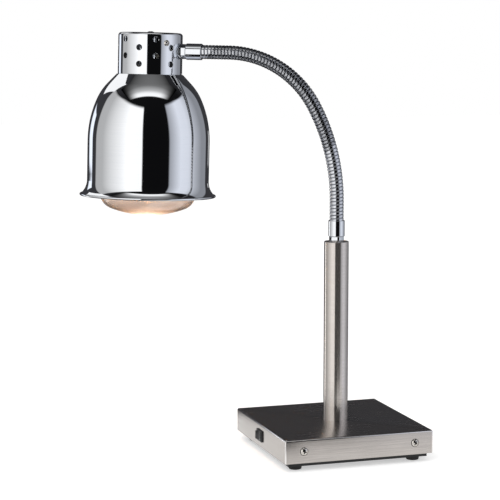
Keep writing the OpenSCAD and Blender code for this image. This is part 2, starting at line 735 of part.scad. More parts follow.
// Neck cover: drawn cup with staggered vent holes, plain on the side of the arm
module neck_cover() {
    r = neck_r;
    t = neck_t;
    q = neck_round;
    columns = round(360 / vent_step);
    color("#d4d6da") head() difference() {
        rotate_extrude() polygon(concat([[r - t, neck_z], [r, neck_z]],
            arc([r - q, neck_top - q], q, 0, 90, 6), [[0, neck_top], [0, neck_top - t]],
            arc([r - q, neck_top - q], q - t, 90, 0, 6)));
        for (i = [1:columns - 2]) rotate([0, 0, 180 + vent_turn + (i + 0.5) * vent_step])
            for (j = [0, 1])
                translate([r - 5, 0, neck_top - vent_drop - (j + (i % 2 == 0 ? 0.5 : 0)) * vent_pitch])
                rotate([0, 90, 0]) cylinder(d = vent_d, h = 10);
        translate([-r, 0, fitting_z]) rotate([0, 90, 0]) cylinder(d = stem_d + 0.4, h = 16, center = true);
        for (s = [0, 180]) rotate([0, 0, bracket_angle + s]) translate([r, 0, bracket_screw_z])
            rotate([0, 90, 0]) cylinder(d = 4.4, h = 12, center = true);
        translate([0, 0, neck_top - 5]) cylinder(d = 4.4, h = 10);
    }
}

module top_screw() {
    color("#c9c9c9") head() translate([0, 0, neck_top]) dome_screw(11, 2.2, 4 - 2 * seat, 7);
}

module top_nut() {
    color("#8d8f92") head() translate([0, 0, neck_top - neck_t - 3.2]) hex_nut(7, 3.2, 4);
}

// Socket bracket: a steel strap whose legs are screwed to the neck
module socket_bracket() {
    bar_z = socket_top;
    leg_z = bracket_screw_z + 6;
    color("#a5a7aa") head() rotate([0, 0, bracket_angle]) difference() {
        rotate([90, 0, 0]) linear_extrude(bar_w, center = true)
            polygon([[-leg_r, bar_z], [leg_r, bar_z], [leg_r, leg_z], [leg_r - 1.5, leg_z],
                [leg_r - 1.5, bar_z + bar_t], [1.5 - leg_r, bar_z + bar_t], [1.5 - leg_r, leg_z],
                [-leg_r, leg_z]]);
        for (s = [-1, 1]) translate([s * 15, 0, bar_z - 1]) cylinder(d = 4.3, h = 6);
        translate([0, 0, bracket_screw_z]) rotate([0, 90, 0]) cylinder(d = 4.3, h = 4 * leg_r, center = true);
    }
}

module bracket_screws() {
    color("#c9c9c9") head() for (s = [0, 180]) rotate([0, 0, bracket_angle + s])
        translate([neck_r, 0, bracket_screw_z]) rotate([0, 90, 0]) dome_screw(8, 2.4, 4 - 2 * seat, 9);
}

module bracket_nuts() {
    color("#8d8f92") head() for (s = [0, 180]) rotate([0, 0, bracket_angle + s])
        translate([leg_r - 1.5 - 3.2, 0, bracket_screw_z]) rotate([0, 90, 0]) hex_nut(7, 3.2, 4);
}

module socket_screws() {
    color("#c9c9c9") head() rotate([0, 0, bracket_angle]) for (s = [-1, 1])
        translate([s * 15, 0, socket_top + bar_t]) dome_screw(7.5, 2.2, 4 - 2 * seat, 9);
}

// Lamp socket: porcelain, stepped outside, with the bore of the screw shell
module lamp_socket() {
    r = socket_d / 2;
    bottom = socket_top - socket_h;
    bore = cap_d / 2 + 1.2;
    floor_z = contact_z + 2.2;
    color("#efece4") head() difference() {
        rotate_extrude() polygon(concat([[0, floor_z], [bore, floor_z], [bore, bottom], [r - 4, bottom]],
            arc([r - 4, bottom + 1.5], 1.5, -90, 0, 4), [[r - 2.5, socket_top - 14], [r, socket_top - 12],
            [r, socket_top - 1.5], [r - 1.5, socket_top], [0, socket_top]]));
        rotate([0, 0, bracket_angle]) for (s = [-1, 1]) translate([s * 15, 0, socket_top - 9])
            cylinder(d = 4, h = 10);
    }
}

module socket_shell() {
    bore = cap_d / 2 + 1.2;
    color("#c9b26a") head() translate([0, 0, contact_z - cap_l + 1]) difference() {
        cylinder(r = bore - seat, h = cap_l);
        translate([0, 0, -1]) cylinder(r = cap_d / 2 + 0.4, h = cap_l + 2);
    }
}

// Centre contact: a brass leaf on the floor of the socket
module socket_contact() {
    color("#c9b26a") head() translate([0, 0, contact_z + 0.1]) {
        cylinder(r = 3.5, h = 2);
        translate([-2, -2, 1.3]) cube([10, 4, 0.8]);
    }
}

// Shade: spun bell with a collar in the neck, a swept shoulder, a flared mouth and a rolled rim
module shade() {
    t = shade_t;
    lift = [0, body_top];
    flare_centre = [shade_r + flare_r, body_bottom];
    along = [-sin(shoulder_angle), cos(shoulder_angle)];
    inner_top = high_arc + (shoulder_high_r - t) * [cos(shoulder_angle), sin(shoulder_angle)];
    inner_len = (shoulder_h - t - inner_top[1]) / cos(shoulder_angle);
    outer = concat([[collar_r, neck_z + collar_h], [collar_r, neck_z], [ledge_r, neck_z]],
        flip(arc(high_arc + lift, shoulder_high_r, shoulder_low_angle, shoulder_angle, 6)),
        flip(arc(low_centre + lift, shoulder_low_r, 0, shoulder_low_angle, 8)),
        arc(flare_centre, flare_r, 180, 180 + flare_angle, 8));
    inner = concat([[collar_r - t, neck_z + collar_h], [collar_r - t, neck_z - t]],
        [inner_top + inner_len * along + lift],
        flip(arc(high_arc + lift, shoulder_high_r - t, shoulder_low_angle, shoulder_angle, 6)),
        flip(arc(low_centre + lift, shoulder_low_r - t, 0, shoulder_low_angle, 8)),
        arc(flare_centre, flare_r + t, 180, 180 + flare_angle, 8));
    edge = flare_centre - (flare_r + t / 2) * [cos(flare_angle), sin(flare_angle)];
    color("#d4d6da") head() {
        rotate_extrude() polygon(concat(outer, flip(inner)));
        rotate_extrude() translate(edge + (rim_r - 0.3) * [sin(flare_angle), -cos(flare_angle)])
            circle(r = rim_r, $fn = 24);
    }
}

// Bulb glass: domed face, rounded edge, reflector and neck, blown in one piece
module bulb_glass() {
    t = glass_t;
    neck = [[bulb_neck_r, cap_z - 14], [cap_d / 2 - 1.4, cap_z - 1], [cap_d / 2 - 1.4, cap_z + 9]];
    neck_in = [for (p = neck) p - [t, 0]];
    outer = concat(arc_down([0, face_r], face_r, 0, face_angle, 5),
        arc_down(edge_centre, face_edge_r, face_angle, back_angle, 10),
        arc_down(back_centre, back_r, back_angle, waist_angle, 5),
        arc_down(waist_centre, -waist_r, waist_angle, 90, 5), neck);
    inner = concat(arc_down([0, face_r], face_r - t, 0, face_angle, 5),
        arc_down(edge_centre, face_edge_r - t, face_angle, back_angle, 10),
        arc_down(back_centre, back_r - t, back_angle, waist_angle, 5),
        arc_down(waist_centre, -waist_r - t, waist_angle, 90, 5), neck_in);
    color("#d8d2e0") head() translate([0, 0, bulb_z]) rotate_extrude() polygon(concat(outer, flip(inner)));
}

module bulb_cap() {
    r = cap_d / 2;
    color("#c9b26a") head() translate([0, 0, bulb_z + cap_z]) rotate_extrude()
        polygon([[r - 0.7, 0], [r, 0], [r, cap_l - 6], [6, cap_l - 2], [4.5, cap_l], [0, cap_l], [0, cap_l - 3],
            [5, cap_l - 3.5], [r - 0.7, cap_l - 7]]);
}

stem_z = 74;
// Glass stem that carries the filament's supports
module bulb_stem() {
    color("#dfe6ea") head() translate([0, 0, bulb_z]) rotate_extrude()
        polygon([[0, stem_z], [4, stem_z], [4.5, cap_z - 26], [9, cap_z + 2], [cap_d / 2 - 3.2, cap_z + 8],
            [0, cap_z + 8]]);
}

// Filament: an open ring of coiled wire on three supports
module bulb_filament() {
    ring_r = 13;
    ring_z = 44;
    arm_z = stem_z + 1.4;
    color("#6b6460") head() translate([0, 0, bulb_z]) {
        translate([0, 0, ring_z]) rotate_extrude(angle = 300) translate([ring_r, 0]) circle(r = 1, $fn = 24);
        for (a = [12, 150, 288]) rotate([0, 0, a]) {
            translate([ring_r, 0, ring_z]) cylinder(r = 0.6, h = arm_z + 1 - ring_z, $fn = 16);
            translate([4.1, 0, arm_z]) rotate([0, 90, 0]) cylinder(r = 0.45, h = ring_r - 4.1, $fn = 16);
        }
    }
}

base_shell();
bottom_tray();
ballast_plate();
ballast_screws();
rubber_feet();
foot_screws();
foot_nuts();
case_screws();
case_nuts();
switch_housing();
switch_rocker();
switch_tabs();
cord_gland();
gland_nut();
terminal_block();
terminal_screws();
switch_leads();
earth_stud();
earth_nut();
earth_lead();
post_tube();
post_foot_plug();
post_stud();
post_washer();
post_nut();
post_top_plug();
lamp_lead_lower();
lower_ferrule();
lower_lock_nut();
stem_nut();
gooseneck_hose();
lamp_lead_middle();
upper_ferrule();
upper_lock_nut();
inner_neck_nut();
neck_cover();
top_screw();
top_nut();
socket_bracket();
bracket_screws();
bracket_nuts();
socket_screws();
lamp_socket();
socket_shell();
socket_contact();
shade();
bulb_glass();
bulb_cap();
bulb_stem();
bulb_filament();
lamp_lead_upper();
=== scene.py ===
from math import acos, atan2, cos, degrees, hypot, pi, radians, sin, sqrt

import bpy
from mathutils import Matrix, Vector


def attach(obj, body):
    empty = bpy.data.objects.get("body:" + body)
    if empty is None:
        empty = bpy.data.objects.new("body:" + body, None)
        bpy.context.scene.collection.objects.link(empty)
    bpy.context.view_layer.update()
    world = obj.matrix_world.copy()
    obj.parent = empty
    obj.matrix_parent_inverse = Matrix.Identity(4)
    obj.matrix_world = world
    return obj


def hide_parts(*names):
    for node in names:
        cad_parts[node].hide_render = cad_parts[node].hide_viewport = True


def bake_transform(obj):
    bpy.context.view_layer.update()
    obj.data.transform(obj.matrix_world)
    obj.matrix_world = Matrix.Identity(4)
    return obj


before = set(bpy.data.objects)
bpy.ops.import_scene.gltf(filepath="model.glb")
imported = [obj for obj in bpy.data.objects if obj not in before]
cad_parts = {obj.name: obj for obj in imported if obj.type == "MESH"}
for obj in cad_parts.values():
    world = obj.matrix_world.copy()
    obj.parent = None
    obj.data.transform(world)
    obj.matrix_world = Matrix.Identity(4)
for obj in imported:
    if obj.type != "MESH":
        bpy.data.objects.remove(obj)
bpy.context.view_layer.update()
bpy.ops.object.select_all(action="DESELECT")


# Base shell
# One sheet of 1.2 mm stainless steel, folded down at four sides and welded at its upright corners.
# Ground with a belt: the grain runs level round the sides and from left to right on the top.

def linear(hex_colour):
    """A colour written as sRGB hex, as the linear numbers that a shader takes."""
    channels = [int(hex_colour[i:i + 2], 16) / 255 for i in (1, 3, 5)]
    return tuple(c / 12.92 if c <= 0.04045 else ((c + 0.055) / 1.055) ** 2.4 for c in channels) + (1.0,)


def add(tree, kind, settings, inputs):
    """Adds a node with its settings; an input is a value, or the output of another node."""
    made = tree.nodes.new("ShaderNode" + kind)
    for key, value in settings.items():
        setattr(made, key, value)
    for key, value in inputs.items():
        if isinstance(value, bpy.types.NodeSocket):
            tree.links.new(value, made.inputs[key])
        else:
            made.inputs[key].default_value = value
    return made


def blank_material(name):
    material = bpy.data.materials.new(name)
    material.use_nodes = True
    material.node_tree.nodes.clear()
    return material, material.node_tree


def metal(name, colour, shade, rough, spread, marks, lift, grain=0.0, around="Z", haze=0.0):
    """Bare or plated metal. marks is how many scratches or ripples lie in a metre along x, y and z, lift
    how deep they look, grain how far they pull the highlights out, round an axis or along x, and haze how
    matt the surface is."""
    material, tree = blank_material(name)
    place = add(tree, "TexCoord", {}, {}).outputs["Object"]
    fine = add(tree, "Mapping", {}, {"Vector": place, "Scale": marks}).outputs[0]
    scratch = add(tree, "TexNoise", {}, {"Vector": fine, "Scale": 1.0, "Detail": 3.0}).outputs["Fac"]
    broad = add(tree, "TexNoise", {}, {"Vector": place, "Scale": 14.0, "Detail": 2.0}).outputs["Fac"]
    both = add(tree, "Math", {"operation": "MULTIPLY_ADD"}, {0: broad, 1: 0.5, 2: scratch}).outputs[0]
    dull = add(tree, "MapRange", {}, {"Value": both, "From Min": 0.5, "From Max": 1.0,
        "To Min": rough - spread, "To Max": rough + spread}).outputs[0]
    tone = add(tree, "Mix", {"data_type": "RGBA"}, {0: both, 6: linear(colour), 7: linear(shade)}).outputs[2]
    relief = add(tree, "Bump", {}, {"Strength": lift, "Distance": 0.0002, "Height": scratch}).outputs[0]
    inputs = {"Base Color": tone, "Metallic": 1.0 - haze, "Roughness": dull, "Normal": relief}
    if grain:
        way = add(tree, "Tangent", {"direction_type": "RADIAL", "axis": around}, {}).outputs[0] if around else \
            add(tree, "CombineXYZ", {}, {"X": 1.0}).outputs[0]
        inputs.update({"Anisotropic": grain, "Anisotropic Rotation": 0.25, "Tangent": way})
    shader = add(tree, "BsdfPrincipled", {}, inputs).outputs[0]
    add(tree, "OutputMaterial", {}, {"Surface": shader})
    return material


def select_where(piece, kind, test):
    """In edit mode, selects the vertices, edges or faces whose middle and normal pass the test."""
    bpy.ops.mesh.select_all(action="DESELECT")
    bpy.ops.mesh.select_mode(type={"vertices": "VERT", "edges": "EDGE", "polygons": "FACE"}[kind])
    bpy.ops.object.mode_set(mode="OBJECT")
    mesh = piece.data
    for item in getattr(mesh, kind):
        if kind == "vertices":
            chosen = test(item.co, item.normal)
        elif kind == "edges":
            a, b = (mesh.vertices[i].co for i in item.vertices)
            chosen = test((a + b) / 2, (b - a).normalized())
        else:
            chosen = test(item.center, item.normal)
        item.select = bool(chosen)
    bpy.ops.object.mode_set(mode="EDIT")


def apply_modifier(piece, kind, **settings):
    """Adds a modifier with its settings and applies it."""
    bpy.context.view_layer.objects.active = piece
    modifier = piece.modifiers.new(kind.title(), kind)
    for key, value in settings.items():
        setattr(modifier, key, value)
    bpy.ops.object.modifier_apply(modifier=modifier.name)


def settle(piece, name, body, slot, material, *nodes, smooth=30):
    """Puts a finished piece's place in its mesh, shades it, and hands it to its body and its CAD nodes."""
    bpy.ops.object.select_all(action="DESELECT")
    piece.select_set(True)
    bpy.context.view_layer.objects.active = piece
    bpy.ops.object.transform_apply(location=True, rotation=True, scale=True)
    bpy.ops.object.shade_smooth_by_angle(angle=radians(smooth))
    piece.name = name
    piece.data.name = name
    if material:
        piece.data.materials.clear()
        piece.data.materials.append(material)
    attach(piece, body)
    if nodes:
        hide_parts(*nodes)
    bpy.ops.object.select_all(action="DESELECT")
    return piece


BASE = 0.200
BASE_BOTTOM, BASE_TOP = 0.011, 0.041
SHEET = 0.0012
# Brushed stainless: level lines 0.7 mm apart, drawn coarser than the real 0.1 mm because a pixel of the
# photo covers 1.3 mm. They give a pale, warm grey whose reflections are drawn out upright.
steel_sides = metal("brushed_stainless_sides", "#d8d2cd", "#c4beb9", 0.22, 0.05, (24, 24, 1400), 0.05,
    grain=0.6, around="Z")
# The same sheet seen at a low angle: a dark, slightly hazy mirror that smears the post's reflection.
steel_top = metal("brushed_stainless_top", "#d2cecb", "#bfbbb8", 0.24, 0.04, (24, 1400, 24), 0.03,
    grain=0.3, around="", haze=0.02)
# The bends and corners, rubbed smooth in folding and dressing; their colour, paler than the sheet's, paints a
# highlight on them: thin bright lines round each face.
steel_bend = metal("buffed_bend_painted_highlight", "#faf7f4", "#f0ecea", 0.17, 0.03, (24, 24, 300), 0.02)
bpy.ops.mesh.primitive_cube_add(size=1, location=(0, 0, (BASE_BOTTOM + BASE_TOP) / 2),
    scale=(BASE, BASE, BASE_TOP - BASE_BOTTOM))
shell = bpy.context.object
bpy.ops.object.transform_apply(location=True, rotation=True, scale=True)
bpy.ops.object.mode_set(mode="EDIT")
select_where(shell, "polygons", lambda middle, normal: normal.z < -0.9)
bpy.ops.mesh.delete(type="FACE")
select_where(shell, "edges", lambda middle, way: abs(way.z) > 0.9)
bpy.ops.mesh.bevel(offset=0.0016, segments=4, profile=0.5)
select_where(shell, "edges", lambda middle, way: middle.z > BASE_TOP - 1e-5)
bpy.ops.mesh.bevel(offset=0.0024, segments=7, profile=0.5)
select_where(shell, "polygons", lambda middle, normal: True)
bpy.ops.mesh.normals_make_consistent(inside=False)
bpy.ops.object.mode_set(mode="OBJECT")
apply_modifier(shell, "SOLIDIFY", thickness=SHEET, offset=-1.0)
settle(shell, "base_sheet", "base", "stainless", steel_sides, "base_shell", smooth=35)
shell.data.materials.append(steel_top)
shell.data.materials.append(steel_bend)
# Upward faces take the top's material; bends and corners take the paler copy that paints their highlight.
for face in shell.data.polygons:
    if face.normal.z > 0.97:
        face.material_index = 1
    elif max(abs(part) for part in face.normal) < 0.985:
        face.material_index = 2


# Bottom tray, ballast and feet
# The tray is black powder-coated sheet that closes the base from below and shows as a thin dark line.
# A cast plate inside it keeps the lamp standing. Four turned rubber feet are screwed on from below.

def plain(name, colour, shade, rough, spread, bits, lift, **extra):
    """Plastic, rubber, ceramic or paint: bits is how many grains lie in a metre, lift how deep they look."""
    material, tree = blank_material(name)
    place = add(tree, "TexCoord", {}, {}).outputs["Object"]
    grain = add(tree, "TexNoise", {}, {"Vector": place, "Scale": bits, "Detail": 4.0}).outputs["Fac"]
    broad = add(tree, "TexNoise", {}, {"Vector": place, "Scale": 30.0, "Detail": 2.0}).outputs["Fac"]
    dull = add(tree, "MapRange", {}, {"Value": grain, "From Min": 0.3, "From Max": 0.7,
        "To Min": rough - spread, "To Max": rough + spread}).outputs[0]
    tone = add(tree, "Mix", {"data_type": "RGBA"}, {0: broad, 6: linear(colour), 7: linear(shade)}).outputs[2]
    relief = add(tree, "Bump", {}, {"Strength": lift, "Distance": 0.0002, "Height": grain}).outputs[0]
    inputs = {"Base Color": tone, "Roughness": dull, "Normal": relief}
    inputs.update(extra)
    shader = add(tree, "BsdfPrincipled", {}, inputs).outputs[0]
    add(tree, "OutputMaterial", {}, {"Surface": shader})
    return material


def dress(material, *names):
    """Gives CAD nodes that stay as they are their material."""
    for name in names:
        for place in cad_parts[name].material_slots:
            place.material = material


# Zinc plating: grey and dull, with cloudy spots about 2.5 mm across.
zinc = metal("zinc_plated_steel", "#b9bcc0", "#9da1a6", 0.34, 0.08, (400, 400, 400), 0.1)
# Powder coat on the tray: black, with a soft sheen broken up by 0.7 mm orange peel. Cast iron: dark
# grey and rough from the sand mould, 1.4 mm grains. Moulded rubber: soft black without highlights.
dress(plain("black_powder_coat", "#18181a", "#0f0f11", 0.45, 0.08, 1500, 0.25), "bottom_tray")
dress(plain("cast_iron", "#56575a", "#3d3e41", 0.75, 0.1, 700, 0.8, Metallic=0.6), "ballast_plate")
dress(plain("black_rubber", "#1a1a1a", "#101010", 0.7, 0.08, 900, 0.3), "rubber_feet")
dress(zinc, "ballast_screws", "foot_screws", "foot_nuts", "case_nuts")


# Case screws
# Four pan-head screws of bright nickel-plated steel with a cross recess, in the front and back faces.
# Each head is turned, then the recess is cut with a cross of two bars.

def turned(profile, segments=96):
    """A ring at each (radius, height) of the profile, each drawn out of the one before, as on a lathe.
    A profile that ends where it began closes on itself, and open ends are filled."""
    radius, height = profile[0]
    bpy.ops.mesh.primitive_circle_add(vertices=segments, radius=radius, location=(0, 0, height))
    piece = bpy.context.object
    bpy.ops.object.transform_apply(location=True, rotation=True, scale=True)
    bpy.ops.object.mode_set(mode="EDIT")
    bpy.ops.mesh.select_mode(type="VERT")
    bpy.ops.mesh.select_all(action="SELECT")
    for new_radius, new_height in profile[1:]:
        bpy.ops.mesh.extrude_edges_move(TRANSFORM_OT_translate={"value": (0, 0, new_height - height)})
        grow = new_radius / radius
        bpy.ops.transform.resize(value=(grow, grow, 1), center_override=(0, 0, new_height))
        radius, height = new_radius, new_height
    bpy.ops.mesh.select_all(action="SELECT")
    bpy.ops.mesh.remove_doubles(threshold=1e-6)
    bpy.ops.mesh.select_all(action="DESELECT")
    bpy.ops.mesh.select_non_manifold(extend=False, use_wire=False, use_multi_face=False,
        use_non_contiguous=False, use_verts=False)
    bpy.ops.mesh.edge_face_add()
    bpy.ops.mesh.select_all(action="SELECT")
    bpy.ops.mesh.normals_make_consistent(inside=False)
    bpy.ops.object.mode_set(mode="OBJECT")
    return piece


def bend(x, z, radius, start, end, steps):
    """Points on an arc about (x, z), with its angles in degrees from the x direction."""
    return [(x + radius * cos(radians(start + (end - start) * i / steps)),
        z + radius * sin(radians(start + (end - start) * i / steps))) for i in range(steps + 1)]


def cut(piece, tool):
    """Takes the tool's shape out of the piece and throws the tool away."""
    apply_modifier(piece, "BOOLEAN", operation="DIFFERENCE", solver="EXACT", object=tool)
    bpy.data.objects.remove(tool)


def domed_head(width, height, recess):
    """A screw's head, standing on z = 0, with a cross recess a third of its height deep."""
    ball = ((width / 2) ** 2 + height ** 2) / (2 * height)
    edge = degrees(acos((width / 2 - 0.0002) / ball)) if ball > width / 2 else 0
    dome = bend(0, height - ball, ball, edge, 89, 10)
    head = turned([(width / 2 - 0.0004, 0), (width / 2, 0.0003)] + dome, 48)
    for turn in (20, 110):
        bpy.ops.mesh.primitive_cube_add(size=1, location=(0, 0, height), rotation=(0, 0, radians(turn)),
            scale=(width * recess, width * 0.13, height * 1.2))
        bar = bpy.context.object
        bpy.ops.object.transform_apply(location=True, rotation=True, scale=True)
        cut(head, bar)
    return head


# Nickel plate: small warm points of light on each dome, hardly blurred, with 1.4 mm ripples.
bright_screw = metal("nickel_plated_screw", "#eeeae4", "#cfcac3", 0.12, 0.04, (700, 700, 700), 0.08)
CASE_X, FACE_MID = 0.075, 0.026
screws = []
for side in (0, 180):
    for x in (-CASE_X, CASE_X):
        head = domed_head(0.0105, 0.0029, 0.54)
        head.data.transform(Matrix.Rotation(radians(side), 4, "Z")
            @ Matrix.Translation((x, -BASE / 2, FACE_MID)) @ Matrix.Rotation(pi / 2, 4, "X")
            @ Matrix.Rotation(radians(x * 500 + side / 7), 4, "Z"))
        screws.append(head)


def joined(pieces):
    """Several meshes as one piece."""
    bpy.ops.object.select_all(action="DESELECT")
    for piece in pieces:
        piece.select_set(True)
    bpy.context.view_layer.objects.active = pieces[0]
    bpy.ops.object.join()
    return bpy.context.object


heads = settle(joined(screws), "case_screw_heads", "base", "bright_steel", bright_screw, "case_screws")
# Painted shade in the recess and round the foot of each head: a dark cross and a dark ring, which set
# the bright head off from the pale face.
heads.data.materials.append(metal("painted_shade_nickel_recess", "#2c2825", "#1b1816", 0.5, 0.1, (900, 900, 900), 0.2))
# Faces in the recess, and those at the foot of each head, take the painted shade.
for face in heads.data.polygons:
    across = hypot(abs(face.center.x) - CASE_X, face.center.z - FACE_MID)
    above = abs(face.center.y) - BASE / 2
    if above < 0.0006 or above < sqrt(0.0062 ** 2 - across ** 2) - 0.0033 - 0.00015:
        face.material_index = 1


# Rocker switch
# A snap-in switch in the left face: a glass-filled nylon housing with a bevelled bezel, and a glossy
# rocker whose two flats meet in a shallow V. The rocker turns with its own body.

# Spark-eroded mould face, 0.8 mm grain: black with a soft grey edge along the bezel. The rocker comes from
# a polished mould, so one sharp light line runs along each flat.
nylon = plain("black_nylon_moulding", "#1d1d1f", "#141416", 0.42, 0.08, 1200, 0.2)
gloss_nylon = plain("glossy_black_rocker", "#212124", "#17171a", 0.2, 0.04, 700, 0.05)
BEZEL_W, BEZEL_H, BEZEL_T = 0.021, 0.015, 0.002
bpy.ops.mesh.primitive_cube_add(size=1, location=(-BASE / 2 - BEZEL_T / 2, 0, FACE_MID),
    scale=(BEZEL_T, BEZEL_W, BEZEL_H))
bezel = bpy.context.object
bpy.ops.object.transform_apply(location=True, rotation=True, scale=True)
bpy.ops.object.mode_set(mode="EDIT")
select_where(bezel, "edges", lambda middle, way: abs(way.x) > 0.9)
bpy.ops.mesh.bevel(offset=0.0012, segments=4)
select_where(bezel, "edges", lambda middle, way: middle.x < -BASE / 2 - BEZEL_T + 1e-5)
bpy.ops.mesh.bevel(offset=0.0007, segments=3)
bpy.ops.object.mode_set(mode="OBJECT")
bpy.ops.mesh.primitive_cube_add(size=1, location=(-BASE / 2 - BEZEL_T + 0.00575, 0, FACE_MID),
    scale=(0.0135, 0.0178, 0.0112))
pocket = bpy.context.object
bpy.ops.object.transform_apply(location=True, rotation=True, scale=True)
cut(bezel, pocket)
bpy.ops.mesh.primitive_cube_add(size=1, location=(-BASE / 2 + 0.009, 0, FACE_MID), scale=(0.018, 0.019, 0.0127))
body = bpy.context.object
bpy.ops.object.transform_apply(location=True, rotation=True, scale=True)
bpy.ops.mesh.primitive_cube_add(size=1, location=(-BASE / 2 + 0.002, 0, FACE_MID), scale=(0.0152, 0.0178, 0.0112))
hollow = bpy.context.object
bpy.ops.object.transform_apply(location=True, rotation=True, scale=True)
cut(body, hollow)
settle(joined([bezel, body]), "switch_bezel", "base", "black_plastic", nylon, "switch_housing")

PIVOT = Vector((-0.0965, 0, FACE_MID))
REACH, HALF = 0.0055, 0.0076
bpy.ops.mesh.primitive_cube_add(size=1, location=(-REACH / 2 + 0.0002, 0, 0), scale=(REACH, 2 * HALF, 0.0108))
rocker = bpy.context.object
bpy.ops.object.transform_apply(location=True, rotation=True, scale=True)
bpy.ops.object.mode_set(mode="EDIT")
select_where(rocker, "edges", lambda middle, way: abs(way.y) > 0.9)
bpy.ops.mesh.subdivide(number_cuts=7)
select_where(rocker, "vertices", lambda place, normal: place.x < -0.004)
bpy.ops.object.mode_set(mode="OBJECT")
for corner in rocker.data.vertices:
    if corner.co.x < -0.004:
        corner.co.x -= 0.0021 * abs(corner.co.y) / HALF
bpy.ops.object.mode_set(mode="EDIT")
bpy.ops.mesh.select_all(action="SELECT")
bpy.ops.mesh.normals_make_consistent(inside=False)
bpy.ops.object.mode_set(mode="OBJECT")
apply_modifier(rocker, "BEVEL", width=0.0004, segments=3, limit_method="ANGLE", angle_limit=radians(40))
rocker.data.transform(Matrix.Translation(PIVOT) @ Matrix.Rotation(radians(8), 4, "Z"))
settle(rocker, "rocker_key", "rocker", "rocker_plastic", gloss_nylon, "switch_rocker")


# Cord gland, wiring and earth
# The gland is moulded nylon, the same as the switch. Behind it lie the terminal block, the PVC-covered
# switch wires, the green and yellow earth wire on its stud, and brass tabs and screws.

# Turned brass: yellow, with 2 mm clouds of tarnish. The plastics differ only in colour and in gloss.
brass = metal("brass", "#d8bd76", "#b3924b", 0.26, 0.07, (500, 500, 500), 0.12)
dress(nylon, "cord_gland", "gland_nut")
dress(brass, "switch_tabs", "terminal_screws")
dress(plain("terminal_block_nylon", "#e9e6dd", "#dcd8cc", 0.45, 0.08, 900, 0.1), "terminal_block")
dress(plain("black_pvc_wire", "#2a2422", "#1e1a19", 0.5, 0.06, 800, 0.1), "switch_leads")
dress(plain("earth_wire_pvc", "#7f9a2e", "#c2b13a", 0.5, 0.06, 300, 0.1), "earth_lead")
dress(zinc, "earth_stud", "earth_nut")


# Post
# Drawn stainless tube, ground round and round, with a small bright chamfer at its top edge. It is held
# by a hollow stud, a washer and a nut under the base, and a turned plug closes its top.

POST_X, POST_R, POST_TOP = 0.004, 0.016, 0.276
# Tube ground round and round, lines 0.45 mm apart (really 0.1 mm): what it mirrors becomes upright bands
# with soft edges.
steel_tube = metal("brushed_stainless_tube", "#dfd9d4", "#cbc4be", 0.17, 0.04, (40, 40, 2200), 0.04,
    grain=0.75, around="Z", haze=0.1)
outside = [(POST_R, BASE_TOP), (POST_R, BASE_TOP + 0.0003), (POST_R, POST_TOP - 0.0009)]
outside += bend(POST_R - 0.0007, POST_TOP - 0.0007, 0.0007, 0, 90, 4)
inside = [(0.0145, POST_TOP), (0.0145, BASE_TOP), (POST_R, BASE_TOP)]
tube = turned(outside + inside, 128)
tube.data.transform(Matrix.Translation((POST_X, 0, 0)))
settle(tube, "post_sleeve", "base", "post_steel", steel_tube, "post_tube")
dress(steel_tube, "post_top_plug")
dress(zinc, "post_foot_plug", "post_stud", "post_washer", "post_nut")


# Lower ferrule and its lock nut
# Turned from brass bar and chrome plated: a thin lip at the mouth, a plain barrel and a chamfer at the
# foot. The hexagon nut below it locks the arm to the post. Both turn with the arm.

# Chrome plate on turned brass: a cool, clear mirror in which only 3 mm ripples bend the edges.
chrome = metal("chrome_plated_fitting", "#eceef0", "#dfe2e6", 0.06, 0.02, (300, 300, 300), 0.02)
MOUTH_Z = 0.3032
FERRULE_R, FERRULE_L, BORE_R = 0.0106, 0.0205, 0.0098
NUT_H, NUT_AF = 0.0063, 0.017
STEM_R = 0.005


def ferrule(stem):
    """A ferrule with its mouth at the origin, facing up, and its stem below."""
    return turned([(BORE_R, -0.0101), (BORE_R, -0.0003), (BORE_R + 0.0002, 0), (FERRULE_R - 0.0004, 0)]
        + bend(FERRULE_R - 0.0004, -0.0004, 0.0004, 80, 0, 3)
        + [(FERRULE_R, -0.0009), (FERRULE_R, 0.0009 - FERRULE_L)]
        + bend(FERRULE_R - 0.0007, 0.0007 - FERRULE_L, 0.0007, 0, -90, 4)
        + [(STEM_R, -FERRULE_L), (STEM_R, -FERRULE_L - stem), (0.0035, -FERRULE_L - stem), (0.0035, -0.0101),
            (BORE_R, -0.0101)], 96)


def lock_nut():
    """A hexagon nut standing on z = 0, with its edges broken."""
    bpy.ops.mesh.primitive_cylinder_add(vertices=6, radius=NUT_AF / sqrt(3), depth=NUT_H,
        location=(0, 0, NUT_H / 2), rotation=(0, 0, pi / 6))
    nut = bpy.context.object
    bpy.ops.object.transform_apply(location=True, rotation=True, scale=True)
    bpy.ops.object.mode_set(mode="EDIT")
    select_where(nut, "polygons", lambda middle, normal: abs(normal.z) > 0.9)
    bpy.ops.mesh.inset(thickness=0.0034, use_individual=True)
    bpy.ops.mesh.delete(type="FACE")
    select_where(nut, "edges", lambda middle, way: hypot(middle.x, middle.y) < 0.0056 and abs(way.z) < 0.1)
    bpy.ops.mesh.bridge_edge_loops()
    select_where(nut, "polygons", lambda middle, normal: True)
    bpy.ops.mesh.normals_make_consistent(inside=False)
    bpy.ops.object.mode_set(mode="OBJECT")
    apply_modifier(nut, "BEVEL", width=0.0005, segments=3, limit_method="ANGLE", angle_limit=radians(25))
    return nut


lower = ferrule(0.0362)
lower.data.transform(Matrix.Translation((POST_X, 0, MOUTH_Z)))
settle(lower, "lower_ferrule_plated", "collar", "chrome_fitting", chrome, "lower_ferrule")
nut = lock_nut()
nut.data.transform(Matrix.Translation((POST_X, 0, POST_TOP + 0.0002)) @ Matrix.Rotation(radians(151), 4, "Z"))
settle(nut, "lower_nut_plated", "collar", "chrome_fitting", chrome, "lower_lock_nut")
dress(zinc, "stem_nut")
